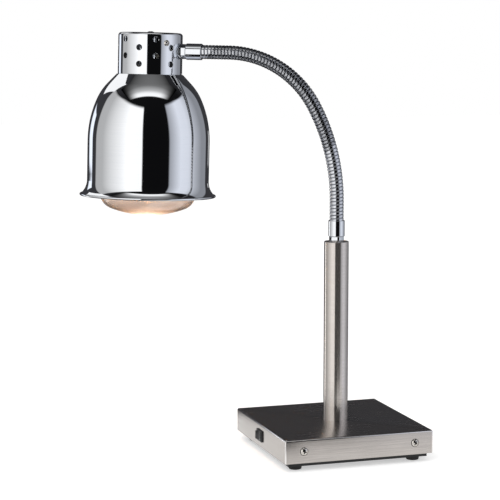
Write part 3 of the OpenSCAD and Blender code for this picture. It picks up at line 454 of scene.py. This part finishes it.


# Gooseneck
# Round steel wire wound close over a core and plated: a screw-shaped ridge of 4.5 mm pitch, bent into the
# arch. It is made in two halves, cut across the arch part way along it.

HOSE_R, PITCH = 0.0091, 0.0045
RISE, LOW_R, LOW_TURN = 0.026, 0.258, radians(28)
HIGH_R, STRAIGHT, END_TURN = 0.129, 0.036, radians(89)
LOW_L, HIGH_L = LOW_R * LOW_TURN, HIGH_R * (END_TURN - LOW_TURN)
HOSE_L = RISE + LOW_L + HIGH_L + STRAIGHT
LOW_END = Vector((LOW_R * (1 - cos(LOW_TURN)), RISE + LOW_R * sin(LOW_TURN)))
HIGH_MID = LOW_END + HIGH_R * Vector((cos(LOW_TURN), -sin(LOW_TURN)))
HIGH_END = HIGH_MID + HIGH_R * Vector((-cos(END_TURN), sin(END_TURN)))
END_WAY = Vector((sin(END_TURN), cos(END_TURN)))
HOSE_END = HIGH_END + STRAIGHT * END_WAY
ARM = Matrix.Translation((POST_X, 0, 0)) @ Matrix.Rotation(radians(151), 4, "Z")


def along_hose(s):
    """Distance out and height above the lower mouth of a point s along the gooseneck."""
    if s < RISE:
        return Vector((0, s))
    if s < RISE + LOW_L:
        turn = (s - RISE) / LOW_R
        return Vector((LOW_R * (1 - cos(turn)), RISE + LOW_R * sin(turn)))
    if s < HOSE_L - STRAIGHT:
        turn = LOW_TURN + (s - RISE - LOW_L) / HIGH_R
        return HIGH_MID + HIGH_R * Vector((-cos(turn), sin(turn)))
    return HIGH_END + (s - HOSE_L + STRAIGHT) * END_WAY


def bent_along_hose(piece, sink):
    """Bends a piece that stands on z = 0 along the arch; it starts sink below the lower mouth."""
    line = bpy.data.curves.new("arch_line", "CURVE")
    line.dimensions = "3D"
    steps = 400
    length = HOSE_L + 2 * sink
    path = line.splines.new("POLY")
    path.points.add(steps)
    for i, point in enumerate(path.points):
        place = along_hose(-sink + length * i / steps)
        point.co = (place.x, 0, MOUTH_Z + place.y, 1)
    guide = bpy.data.objects.new("arch_line", line)
    bpy.context.scene.collection.objects.link(guide)
    apply_modifier(piece, "CURVE", object=guide, deform_axis="POS_Z")
    bpy.data.objects.remove(guide)
    piece.data.transform(ARM)


def halves(piece, middle, way):
    """Cuts a bent piece in two at a plane and closes nothing, because the halves meet there."""
    made = []
    for inner, outer in ((False, True), (True, False)):
        half = piece.copy()
        half.data = piece.data.copy()
        bpy.context.scene.collection.objects.link(half)
        bpy.ops.object.select_all(action="DESELECT")
        half.select_set(True)
        bpy.context.view_layer.objects.active = half
        bpy.ops.object.mode_set(mode="EDIT")
        bpy.ops.mesh.select_all(action="SELECT")
        bpy.ops.mesh.bisect(plane_co=middle, plane_no=way, clear_inner=inner, clear_outer=outer)
        bpy.ops.object.mode_set(mode="OBJECT")
        made.append(half)
    bpy.data.objects.remove(piece)
    return made


# Plated wire: a bright dash on each winding between black gaps, slightly blurred by 2 mm ripples.
wound_steel = metal("plated_wound_steel", "#e3e4e7", "#c9cbd0", 0.13, 0.04, (500, 500, 500), 0.05)
SINK = 0.005
turns = round((HOSE_L + 2 * SINK) / PITCH)
rise = (HOSE_L + 2 * SINK) / turns
bpy.ops.mesh.primitive_circle_add(vertices=3, radius=0.001)
ridge = bpy.context.object
bpy.ops.object.mode_set(mode="EDIT")
bpy.ops.mesh.select_mode(type="VERT")
bpy.ops.mesh.select_all(action="SELECT")
bpy.ops.mesh.merge(type="CENTER")
STEPS, GROOVE = 14, 0.0014
bpy.ops.transform.translate(value=(HOSE_R - GROOVE, 0, 0))
last = Vector((HOSE_R - GROOVE, 0))
for i in range(1, STEPS + 1):
    share = (1 - cos(pi * i / STEPS)) / 2
    spot = Vector((HOSE_R - GROOVE * abs(2 * share - 1) ** 7, rise * share))
    bpy.ops.mesh.extrude_vertices_move(TRANSFORM_OT_translate={"value": (spot.x - last.x, 0, spot.y - last.y)})
    last = spot
bpy.ops.object.mode_set(mode="OBJECT")
apply_modifier(ridge, "SCREW", axis="Z", angle=2 * pi, screw_offset=rise, iterations=turns - 1, steps=36,
    render_steps=36, use_merge_vertices=True, merge_threshold=1e-6, use_normal_calculate=True)
bent_along_hose(ridge, SINK)
CUT_AT = 0.62 * HOSE_L
spot, ahead = along_hose(CUT_AT), along_hose(CUT_AT + 0.001)
cut_place = ARM @ Vector((spot.x, 0, MOUTH_Z + spot.y))
cut_way = ARM.to_3x3() @ Vector((ahead.x - spot.x, 0, ahead.y - spot.y))
low_half, high_half = halves(ridge, cut_place, cut_way)


def bend_half(piece, name, material, node, low):
    """Finishes one half: its normals, shading, name and material, with its place put in its mesh; its CAD node is
    hidden.
    """
    bpy.ops.object.select_all(action="DESELECT")
    piece.select_set(True)
    bpy.context.view_layer.objects.active = piece
    bpy.ops.object.mode_set(mode="EDIT")
    bpy.ops.mesh.select_all(action="SELECT")
    bpy.ops.mesh.normals_make_consistent(inside=False)
    bpy.ops.object.mode_set(mode="OBJECT")
    bpy.ops.object.shade_smooth_by_angle(angle=radians(50))
    piece.name = name
    piece.data.name = name
    piece.data.materials.clear()
    piece.data.materials.append(material)
    if low:
        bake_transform(piece)
    else:
        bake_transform(piece)
    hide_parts(node)


bend_half(low_half, "gooseneck_lower_half", wound_steel, "gooseneck_hose", True)
bend_half(high_half, "gooseneck_upper_half", wound_steel, "gooseneck_hose", False)


# Lamp lead
# Heat-proof wire in a woven glass sleeve, off-white. The part inside the gooseneck is cut in two halves where the
# gooseneck is.

def woven(name, colour, shade, threads):
    """A braided sleeve: two sets of threads that cross, drawn as a lift and a change of tone."""
    material, tree = blank_material(name)
    place = add(tree, "TexCoord", {}, {}).outputs["Object"]
    one = add(tree, "TexWave", {"bands_direction": "DIAGONAL"}, {"Vector": place, "Scale": threads}).outputs["Fac"]
    turned_place = add(tree, "Mapping", {}, {"Vector": place, "Scale": (-1, 1, 1)}).outputs[0]
    two = add(tree, "TexWave", {"bands_direction": "DIAGONAL"}, {"Vector": turned_place, "Scale": threads})
    both = add(tree, "Math", {"operation": "MAXIMUM"}, {0: one, 1: two.outputs["Fac"]}).outputs[0]
    tone = add(tree, "Mix", {"data_type": "RGBA"}, {0: both, 6: linear(shade), 7: linear(colour)}).outputs[2]
    relief = add(tree, "Bump", {}, {"Strength": 0.5, "Distance": 0.0002, "Height": both}).outputs[0]
    shader = add(tree, "BsdfPrincipled", {}, {"Base Color": tone, "Roughness": 0.8, "Normal": relief,
        "Sheen Weight": 0.3}).outputs[0]
    add(tree, "OutputMaterial", {}, {"Surface": shader})
    return material


# Matt cream threads with thin dark gaps. The braid repeats every 2 mm; really it is finer, 1 mm.
glass_sleeve = woven("woven_glass_sleeve", "#ece7dc", "#b8b1a2", 160)
dress(glass_sleeve, "lamp_lead_lower", "lamp_lead_upper")
bpy.ops.mesh.primitive_cylinder_add(vertices=12, radius=0.003, depth=HOSE_L - 0.0024,
    location=(0, 0, HOSE_L / 2))
wire = bpy.context.object
bpy.ops.object.transform_apply(location=True, rotation=True, scale=True)
bpy.ops.object.mode_set(mode="EDIT")
select_where(wire, "edges", lambda middle, way: abs(way.z) > 0.9)
bpy.ops.mesh.subdivide(number_cuts=80)
bpy.ops.object.mode_set(mode="OBJECT")
bent_along_hose(wire, 0)
low_wire, high_wire = halves(wire, cut_place, cut_way)
bend_half(low_wire, "lamp_lead_in_lower_half", glass_sleeve, "lamp_lead_middle", True)
bend_half(high_wire, "lamp_lead_in_upper_half", glass_sleeve, "lamp_lead_middle", False)


# Upper ferrule and its lock nut
# The same two pieces as below, lying on their sides. The stem passes through the neck's wall, where a
# second nut holds it from inside. They and all that follows turn with the head.

TIP = radians(1)
GAP_TO_AXIS = 0.0692
FIT_Z = MOUTH_Z + HOSE_END.y
REACH_OUT = HOSE_END.x + GAP_TO_AXIS
FITTING = ARM @ Matrix.Translation((HOSE_END.x, 0, FIT_Z)) @ Matrix.Rotation(-TIP, 4, "Y")
ROLL = radians(2)
HEAD = FITTING @ Matrix.Rotation(ROLL, 4, "X") @ Matrix.Translation((GAP_TO_AXIS, 0, -FIT_Z))
upper = ferrule(0.0170)
upper.data.transform(FITTING @ Matrix.Rotation(-pi / 2, 4, "Y"))
settle(upper, "upper_ferrule_plated", "head", "chrome_fitting", chrome, "upper_ferrule")
nut = lock_nut()
nut.data.transform(FITTING @ Matrix.Translation((FERRULE_L + 0.0001, 0, 0)) @ Matrix.Rotation(pi / 2, 4, "Y"))
settle(nut, "upper_nut_plated", "head", "chrome_fitting", chrome, "upper_lock_nut")
dress(zinc, "inner_neck_nut", "top_nut", "socket_bracket", "bracket_nuts")


# Neck
# A drawn cup of 1 mm aluminium, polished and chrome plated, with pairs of 8 mm vent holes punched round
# it in a staggered pattern. A low domed screw in its top and two in its sides hold the socket's bracket.

# Chrome plate on polished aluminium: almost no blur, so the soft boxes show as clean shapes. Polishing
# rings 1.4 mm apart are barely felt.
polished = metal("polished_chrome_plate", "#eff0f2", "#e8eaed", 0.035, 0.015, (25, 25, 700), 0.002)
NECK_R, NECK_T, NECK_ROUND = 0.042, 0.001, 0.004
NECK_TOP = FIT_Z + 0.0235
NECK_FOOT = NECK_TOP - 0.054
wall = [(NECK_R, NECK_FOOT + (NECK_TOP - NECK_ROUND - NECK_FOOT) * i / 20) for i in range(21)]
inner_wall = [(r - NECK_T, z) for r, z in reversed(wall)]
cup = turned([(0.0006, NECK_TOP), (0.012, NECK_TOP), (0.03, NECK_TOP)]
    + bend(NECK_R - NECK_ROUND, NECK_TOP - NECK_ROUND, NECK_ROUND, 90, 0, 8) + wall[::-1][1:]
    + inner_wall[::-1] + bend(NECK_R - NECK_ROUND, NECK_TOP - NECK_ROUND, NECK_ROUND - NECK_T, 0, 90, 6)
    + [(0.0006, NECK_TOP - NECK_T)], 144)
punches = []
VENT_STEP, VENT_TURN, VENT_PITCH, VENT_DROP = 30, 9, 0.0212, 0.009
for i in range(1, 11):
    for j in (0, 1):
        drop = VENT_DROP + (j + (0 if i % 2 else 0.5)) * VENT_PITCH
        angle = radians(180 + VENT_TURN + (i + 0.5) * VENT_STEP)
        place = Vector((NECK_R * cos(angle), NECK_R * sin(angle), NECK_TOP - drop))
        bpy.ops.mesh.primitive_cylinder_add(vertices=40, radius=0.004, depth=0.008, location=place,
            rotation=(0, pi / 2, angle))
        bpy.ops.object.transform_apply(location=True, rotation=True, scale=True)
        punches.append(bpy.context.object)
cut(cup, joined(punches))
apply_modifier(cup, "BEVEL", width=0.00025, segments=2, limit_method="ANGLE", angle_limit=radians(50))
cup.data.transform(HEAD)
settle(cup, "neck_cup", "head", "chromed_spinning", polished, "neck_cover", smooth=40)

top = domed_head(0.011, 0.0021, 0.5)
top.data.transform(HEAD @ Matrix.Translation((0, 0, NECK_TOP)))
settle(top, "top_screw_head", "head", "bright_steel", bright_screw, "top_screw")
side_heads = []
for side in (0, 180):
    head = domed_head(0.008, 0.0024, 0.54)
    head.data.transform(HEAD @ Matrix.Rotation(radians(134 + side), 4, "Z")
        @ Matrix.Translation((NECK_R + 0.00005, 0, NECK_TOP - 0.0134)) @ Matrix.Rotation(pi / 2, 4, "Y"))
    side_heads.append(head)
settle(joined(side_heads), "bracket_screw_heads", "head", "bright_steel", bright_screw, "bracket_screws")


# Shade
# Spun from 1.2 mm aluminium over a former, polished and chrome plated: a collar that slips into the neck,
# a swept shoulder, a straight body, and a mouth that flares out to a rolled bead.

SHADE_R, SHADE_T, BODY_H = 0.080, 0.0012, 0.052
LOW_SHOULDER, LOW_ANGLE = 0.135, 24
HIGH_SHOULDER, HIGH_ANGLE = 0.0726, 43
LEDGE_R, COLLAR_R = 0.0435, 0.04095
low_mid = Vector((SHADE_R - LOW_SHOULDER, 0))
meet = low_mid + LOW_SHOULDER * Vector((cos(radians(LOW_ANGLE)), sin(radians(LOW_ANGLE))))
high_mid = meet - HIGH_SHOULDER * Vector((cos(radians(LOW_ANGLE)), sin(radians(LOW_ANGLE))))
high_top = high_mid + HIGH_SHOULDER * Vector((cos(radians(HIGH_ANGLE)), sin(radians(HIGH_ANGLE))))
cone = (high_top.x - LEDGE_R) / sin(radians(HIGH_ANGLE))
SHOULDER_H = high_top.y + cone * cos(radians(HIGH_ANGLE))
BODY_TOP = NECK_FOOT - SHOULDER_H
BODY_FOOT = BODY_TOP - BODY_H
FLARE_R, FLARE_ANGLE, BEAD_R = 0.024, 46, 0.0017


def shade_side(off):
    """The shade's outer side, or with off its inner side, from the collar down to the flare's end."""
    shoulder = bend(low_mid.x, low_mid.y + BODY_TOP, LOW_SHOULDER - off, LOW_ANGLE, 0, 14)
    sweep = bend(high_mid.x, high_mid.y + BODY_TOP, HIGH_SHOULDER - off, HIGH_ANGLE, LOW_ANGLE, 10)
    flare = bend(SHADE_R + FLARE_R, BODY_FOOT, FLARE_R + off, 180, 180 + FLARE_ANGLE, 12)
    body = [(SHADE_R - off, BODY_TOP - BODY_H * i / 6) for i in range(1, 6)]
    return sweep + shoulder[1:] + body + flare


flare_w = Vector((cos(radians(FLARE_ANGLE)), sin(radians(FLARE_ANGLE))))
flare_u = Vector((flare_w.y, -flare_w.x))
bead = Vector((SHADE_R + FLARE_R, BODY_FOOT)) - (FLARE_R + SHADE_T / 2) * flare_w + (BEAD_R - 0.0003) * flare_u
rolled = [tuple(bead + BEAD_R * (cos(radians(a)) * flare_w + sin(radians(a)) * flare_u))
    for a in (-69 + 318 * i / 22 for i in range(23))]
outer, inner = shade_side(0)[:-1], shade_side(SHADE_T)[:-1]
collar = [(COLLAR_R - SHADE_T, NECK_FOOT - SHADE_T), (COLLAR_R - SHADE_T, NECK_FOOT + 0.008),
    (COLLAR_R, NECK_FOOT + 0.008), (COLLAR_R, NECK_FOOT), (LEDGE_R - 0.0003, NECK_FOOT)]
ledge = [(LEDGE_R, NECK_FOOT - 0.0003)]
bell = turned(collar + ledge + outer + rolled + inner[::-1] + collar[:1], 160)
bell.data.transform(HEAD)
# The inside of the shade, as it leaves the spinning lathe: soft white glare round the bulb, with turning
# rings 1.1 mm apart.
satin = metal("satin_aluminium_inside", "#dcdad6", "#c4c1bc", 0.28, 0.06, (30, 30, 900), 0.1)
settle(bell, "spun_shade", "head", "chromed_spinning", polished, "shade", smooth=40)
bell.data.materials.append(satin)
to_head = HEAD.inverted()
for face in bell.data.polygons:
    place, way = to_head @ face.center, to_head.to_3x3() @ face.normal
    if place.xy.length < SHADE_R + 0.002 and place.xy.dot(way.xy) < 0:
        face.material_index = 1


# Lamp holder
# Glazed porcelain with a brass screw shell and a centre contact, hung from the bracket by two screws.

# Glaze over white body: a wet highlight over 5 mm waves.
dress(plain("glazed_porcelain", "#f1eee6", "#e6e2d7", 0.15, 0.04, 200, 0.05, **{"Coat Weight": 0.4}),
    "lamp_socket")
dress(brass, "socket_shell", "socket_contact", "bulb_cap")
dress(bright_screw, "socket_screws")


# Reflector bulb
# Blown in one piece: a domed clear face, a rounded edge and a silvered reflector that narrows to the
# neck. The filament inside is lit, and a warm glow is painted on the lower part of the reflector and round the foot of
# the face.

BULB_Z = NECK_FOOT + 0.0115 - 0.0262 - 0.170
FACE_R, EDGE_R, GLASS_T = 0.140, 0.0223, 0.0012
face_angle = degrees(pi / 2 - acos((0.0635 - EDGE_R) / (FACE_R - EDGE_R)))
edge_mid = (FACE_R - EDGE_R) * Vector((sin(radians(face_angle)), -cos(radians(face_angle)))) + Vector((0, FACE_R))
back_mid = edge_mid - (0.110 - EDGE_R) * Vector((sin(radians(118)), -cos(radians(118))))
back_end = back_mid + 0.110 * Vector((sin(radians(142)), -cos(radians(142))))
waist_mid = back_end + 0.030 * Vector((sin(radians(142)), -cos(radians(142))))
CAP_Z = 0.146


def drop(mid, radius, start, end, steps):
    """Points on an arc whose angles are measured from straight down."""
    return [(mid.x + radius * sin(radians(start + (end - start) * i / steps)),
        BULB_Z + mid.y - radius * cos(radians(start + (end - start) * i / steps))) for i in range(steps + 1)]


def face_side(t):
    start = 0.25
    return drop(Vector((0, FACE_R)), FACE_R - t, start, face_angle, 16) + drop(edge_mid, EDGE_R - t, face_angle, 96, 14)[1:]


def back_side(t):
    neck_x = waist_mid.x - 0.030
    return (drop(edge_mid, EDGE_R - t, 96, 118, 5) + drop(back_mid, 0.110 - t, 118, 142, 10)[1:]
        + drop(waist_mid, -0.030 - t, 142, 90, 8)[1:] + [(neck_x - t, BULB_Z + CAP_Z - 0.014),
            (0.0117 - t, BULB_Z + CAP_Z - 0.001), (0.0117 - t, BULB_Z + CAP_Z + 0.009)])


def see_through(name, tint, rough, painted_glow_at=None):
    """Thin blown glass: it lets the light straight through with a tint, and mirrors more towards its edges.
    Waves 17 mm long bend its highlights. Given a point, it has a warm glow painted on it round that point."""
    material, tree = blank_material(name)
    place = add(tree, "TexCoord", {}, {}).outputs["Object"]
    ripple = add(tree, "TexNoise", {}, {"Vector": place, "Scale": 60.0, "Detail": 1.0}).outputs["Fac"]
    relief = add(tree, "Bump", {}, {"Strength": 0.05, "Distance": 0.001, "Height": ripple}).outputs[0]
    clear = add(tree, "BsdfTransparent", {}, {"Color": linear(tint)}).outputs[0]
    shine = add(tree, "BsdfGlossy", {}, {"Color": (1, 1, 1, 1), "Roughness": rough, "Normal": relief}).outputs[0]
    facing = add(tree, "LayerWeight", {}, {"Blend": 0.5, "Normal": relief}).outputs["Facing"]
    steep = add(tree, "Math", {"operation": "POWER"}, {0: facing, 1: 5.0}).outputs[0]
    edge = add(tree, "Math", {"operation": "MULTIPLY_ADD"}, {0: steep, 1: 0.9, 2: 0.09 if painted_glow_at else 0.04}).outputs[0]
    shader = add(tree, "MixShader", {}, {0: edge, 1: clear, 2: shine}).outputs[0]
    if painted_glow_at:
        # The painted glow: warm white at the point, fading through amber to nothing about 5 cm away.
        away = add(tree, "VectorMath", {"operation": "DISTANCE"}, {0: place, 1: painted_glow_at}).outputs["Value"]
        painted_glow_share = add(tree, "MapRange", {}, {"Value": away, "From Min": 0.004, "From Max": 0.052, "To Min": 1.0,
            "To Max": 0.0}).outputs[0]
        warmth = add(tree, "ValToRGB", {}, {"Fac": painted_glow_share})
        warmth.color_ramp.elements[0].color = linear("#e09a70")
        warmth.color_ramp.elements[1].color = linear("#fff4dc")
        power = add(tree, "Math", {"operation": "POWER"}, {0: painted_glow_share, 1: 2.2}).outputs[0]
        power = add(tree, "Math", {"operation": "MULTIPLY"}, {0: power, 1: 2.6}).outputs[0]
        glow = add(tree, "Emission", {}, {"Color": warmth.outputs[0], "Strength": power}).outputs[0]
        shader = add(tree, "AddShader", {}, {0: shader, 1: glow}).outputs[0]
    add(tree, "OutputMaterial", {}, {"Surface": shader})
    return material


# The point round which a glow is painted on the bulb's face, just above its foot.
BULB_FOOT = HEAD @ Vector((0, 0, BULB_Z + 0.006))
lens = turned(face_side(0) + face_side(GLASS_T)[::-1] + [face_side(0)[0]], 128)
lens.data.transform(HEAD)
settle(lens, "bulb_face", "head", "lamp_glass", see_through("clear_bulb_glass", "#efeae7", 0.24, BULB_FOOT), "bulb_glass",
    smooth=40)

# Silver film inside the glass: a blurred mirror, with a glow painted on it from dark amber to warm white
# towards the face, standing in for the filament's light.
mirror, tree = blank_material("silvered_reflector")
place = add(tree, "TexCoord", {}, {}).outputs["Object"]
height = add(tree, "SeparateXYZ", {}, {"Vector": place}).outputs["Z"]
near = add(tree, "MapRange", {}, {"Value": height, "From Min": BULB_Z + 0.09, "From Max": BULB_Z + 0.03}).outputs[0]
warm = add(tree, "ValToRGB", {}, {"Fac": near})
warm.color_ramp.elements[0].color = linear("#6a5444")
warm.color_ramp.elements[1].color = linear("#fff0e4")
shader = add(tree, "BsdfPrincipled", {}, {"Base Color": linear("#e9e4dd"), "Metallic": 1.0, "Roughness": 0.2,
    "Emission Color": warm.outputs[0], "Emission Strength": 0.35}).outputs[0]
add(tree, "OutputMaterial", {}, {"Surface": shader})
back = turned(back_side(0) + back_side(GLASS_T)[::-1] + [back_side(0)[0]], 128)
back.data.transform(HEAD)
settle(back, "bulb_reflector", "head", "lamp_glass", mirror, "bulb_glass", smooth=40)

# Glowing tungsten wire: the lamp's one real light. It warms the glass and the base below; the glows on the bulb's face
# and reflector are painted on them besides.
hot, tree = blank_material("white_hot_tungsten")
glow = add(tree, "Emission", {}, {"Color": linear("#ffc98a"), "Strength": 400.0}).outputs[0]
add(tree, "OutputMaterial", {}, {"Surface": glow})
dress(hot, "bulb_filament")
dress(see_through("stem_glass", "#e8eef0", 0.05), "bulb_stem")


# Floor and studio
# A white table. Two soft boxes stand left and right, with a dark gap between them, narrow strips and a slanted
# panel further round, a soft box above and a dark tent: they are what the plated pieces mirror.

# A matt white table: white to the eye, so that only the contact shadow shows.
floor_white, tree = blank_material("white_table")
way = add(tree, "LightPath", {}, {})
seen = add(tree, "Math", {"operation": "MAXIMUM"}, {0: way.outputs["Is Camera Ray"], 1: way.outputs["Is Glossy Ray"]})
seen = add(tree, "Math", {"operation": "MAXIMUM"}, {0: seen.outputs[0], 1: way.outputs["Is Transmission Ray"]})
matt = add(tree, "BsdfDiffuse", {}, {"Color": linear("#f4f4f4")}).outputs[0]
lift = add(tree, "Emission", {}, {"Color": (1, 1, 1, 1), "Strength": 0.5}).outputs[0]
none = add(tree, "Emission", {}, {"Strength": 0.0}).outputs[0]
glow = add(tree, "MixShader", {}, {0: seen.outputs[0], 1: none, 2: lift}).outputs[0]
both = add(tree, "AddShader", {}, {0: matt, 1: glow}).outputs[0]
add(tree, "OutputMaterial", {}, {"Surface": both})
bpy.ops.mesh.primitive_plane_add(size=14, location=(0, 0, 0))
floor = bpy.context.object
floor.name = "table_top"
floor.data.materials.append(floor_white)
floor.visible_glossy = False


def only_mirrored(sheet, name, material):
    """Stage setting that shows in reflections alone."""
    sheet.name = name
    sheet.data.materials.append(material)
    sheet.visible_camera = False
    sheet.visible_diffuse = False
    sheet.visible_shadow = False
    sheet.visible_transmission = False


def glowing(name, colour, levels, source, low, high, fade=0.0):
    """A glow whose strength follows levels, (share, strength) pairs along one coordinate from low to high."""
    material, tree = blank_material(name)
    coordinates = add(tree, "TexCoord", {}, {})
    if source == "radius":
        value = add(tree, "VectorMath", {"operation": "LENGTH"}, {0: coordinates.outputs["Object"]}).outputs["Value"]
    else:
        kind, axis = source.split()
        value = add(tree, "SeparateXYZ", {}, {"Vector": coordinates.outputs[kind]}).outputs[axis]
    share = add(tree, "MapRange", {}, {"Value": value, "From Min": low, "From Max": high}).outputs[0]
    ramp = add(tree, "ValToRGB", {}, {"Fac": share})
    stops = ramp.color_ramp.elements
    while len(stops) < len(levels):
        stops.new(0.5)
    for stop, (place, level) in zip(stops, levels):
        stop.position = place
        stop.color = (level / 2, level / 2, level / 2, 1)
    power = add(tree, "Math", {"operation": "MULTIPLY"}, {0: ramp.outputs[0], 1: 2.0}).outputs[0]
    if fade:
        up = add(tree, "SeparateXYZ", {}, {"Vector": coordinates.outputs["UV"]}).outputs["Y"]
        for start, end in ((0.0, fade), (1.0, 1.0 - fade)):
            edge = add(tree, "MapRange", {"interpolation_type": "SMOOTHSTEP"}, {"Value": up, "From Min": start,
                "From Max": end}).outputs[0]
            power = add(tree, "Math", {"operation": "MULTIPLY"}, {0: power, 1: edge}).outputs[0]
    light = add(tree, "Emission", {}, {"Color": linear(colour), "Strength": power}).outputs[0]
    add(tree, "OutputMaterial", {}, {"Surface": light})
    return material


def card(name, start, end, bottom, top, colour, levels, away=2.4):
    """A curved soft box from one direction to another, in degrees as the views count them."""
    steps = max(4, round(abs(end - start) / 6))
    bpy.ops.mesh.primitive_grid_add(x_subdivisions=steps, y_subdivisions=2, size=1)
    sheet = bpy.context.object
    for corner in sheet.data.vertices:
        turn = radians(start + (end - start) * (corner.co.x + 0.5))
        corner.co = (away * sin(turn), -away * cos(turn), bottom + (top - bottom) * (corner.co.y + 0.5))
    only_mirrored(sheet, name, glowing(name, colour, levels, "UV X", 0, 1, fade=0.08))


card("soft_box_left", -31, -130, -1.2, 2.5, "#ffffff",
    [(0, 0), (0.02, 1.2), (0.3, 1.25), (0.45, 1.02), (0.62, 0.8), (0.8, 0.52), (0.97, 0.5), (1, 0)])
card("soft_box_right", 19, 128, -1.2, 2.7, "#e6eaf4",
    [(0, 0), (0.03, 0.5), (0.25, 1.05), (0.42, 1.0), (0.62, 0.6), (0.8, 0.36), (0.97, 0.36), (1, 0)])
card("strip_left", -141, -159, 0.2, 0.85, "#eef4ff", [(0, 0), (0.1, 1.3), (0.8, 1.2), (1, 0)])
corners = []
for turn, rise in ((-156, 21), (-139, 19), (-113, 38), (-112, 57)):
    turn, rise = radians(turn - 15), radians(rise)
    corners.append((2.6 * cos(rise) * sin(turn) - 0.21, -2.6 * cos(rise) * cos(turn) + 0.12, 0.47 + 2.6 * sin(rise)))
bpy.ops.mesh.primitive_plane_add(size=1)
for corner, place in zip((0, 1, 3, 2), corners):
    bpy.context.object.data.vertices[corner].co = place
only_mirrored(bpy.context.object, "slanted_panel", glowing("slanted_panel", "#ffffff", [(0, 1.1), (1, 1.1)], "UV X", 0, 1))
card("strip_low", -132, -150, -0.9, 0.12, "#ffffff", [(0, 0), (0.1, 1.8), (0.9, 1.8), (1, 0)])
card("strip_right", 142, 148, 0.14, 0.36, "#ffffff", [(0, 0), (0.3, 0.9), (0.7, 0.9), (1, 0)])
bpy.ops.mesh.primitive_plane_add(size=1, location=(-0.365, -0.53, 3.0), rotation=(0, 0, radians(-104.7)))
bpy.ops.transform.resize(value=(2.3, 4.4, 1), orient_type="LOCAL")
only_mirrored(bpy.context.object, "soft_box_above", glowing("soft_box_above", "#ffffff",
    [(0, 0.05), (0.35, 0.2), (0.61, 0.55), (0.76, 1.1), (0.91, 1.2), (0.98, 0.03), (1, 0)], "UV X", 0, 1, fade=0.3))
bpy.ops.mesh.primitive_circle_add(vertices=64, radius=0.31, fill_type="NGON", location=(0, 0, 0.0004))
only_mirrored(bpy.context.object, "white_table_near", glowing("white_table_near", "#ffffff",
    [(0, 0.9), (0.85, 0.9), (1, 0)], "radius", 0, 0.31))
bpy.ops.mesh.primitive_plane_add(size=1, location=(0.1, -0.285, 0.0006))
bpy.ops.transform.resize(value=(0.29, 0.24, 1))
only_mirrored(bpy.context.object, "white_table_front", glowing("white_table_front", "#ffffff", [(0, 0.9), (1, 0.9)],
    "UV X", 0, 1))
bpy.ops.mesh.primitive_uv_sphere_add(segments=48, ring_count=24, radius=4.0, location=(0, 0, 0.3))
only_mirrored(bpy.context.object, "dark_tent", glowing("dark_tent", "#f4f4ff",
    [(0, 0.005), (0.4, 0.008), (0.8, 0.045), (1, 0.05)], "Object Y", -4, 4))

bpy.ops.object.light_add(type="AREA", location=(-1.3, -1.1, 1.9))
key = bpy.context.object
key.data.size = 1.4
key.data.energy = 14
key.rotation_euler = Vector((-1.3, -1.1, 1.6)).to_track_quat("Z", "Y").to_euler()
key.visible_glossy = False

world = bpy.data.worlds.new("white_studio")
bpy.context.scene.world = world
world.use_nodes = True
tree = world.node_tree
tree.nodes.clear()
way = add(tree, "LightPath", {}, {})
seen = add(tree, "Math", {"operation": "MAXIMUM"}, {0: way.outputs["Is Camera Ray"], 1: way.outputs["Is Glossy Ray"]})
seen = add(tree, "Math", {"operation": "MAXIMUM"}, {0: seen.outputs[0], 1: way.outputs["Is Transmission Ray"]})
soft = add(tree, "Background", {}, {"Color": (1, 1, 1, 1), "Strength": 0.62}).outputs[0]
white = add(tree, "Background", {}, {"Color": (1, 1, 1, 1), "Strength": 1.0}).outputs[0]
shader = add(tree, "MixShader", {}, {0: seen.outputs[0], 1: soft, 2: white}).outputs[0]
add(tree, "OutputWorld", {}, {"Surface": shader})
bpy.context.scene.view_settings.view_transform = "Standard"


# Camera
# Fitted to the corners of the base, the sides of the post, and the outlines of the head.

camera = bpy.data.objects.new("camera", bpy.data.cameras.new("camera"))
bpy.context.scene.collection.objects.link(camera)
camera.location = (-0.80815, -2.15182, 0.56830)
camera.rotation_euler = (radians(90 - 7.536), 0, radians(-17.881))
camera.data.lens = 128.46
camera.data.sensor_width = 36
bpy.context.scene.camera = camera
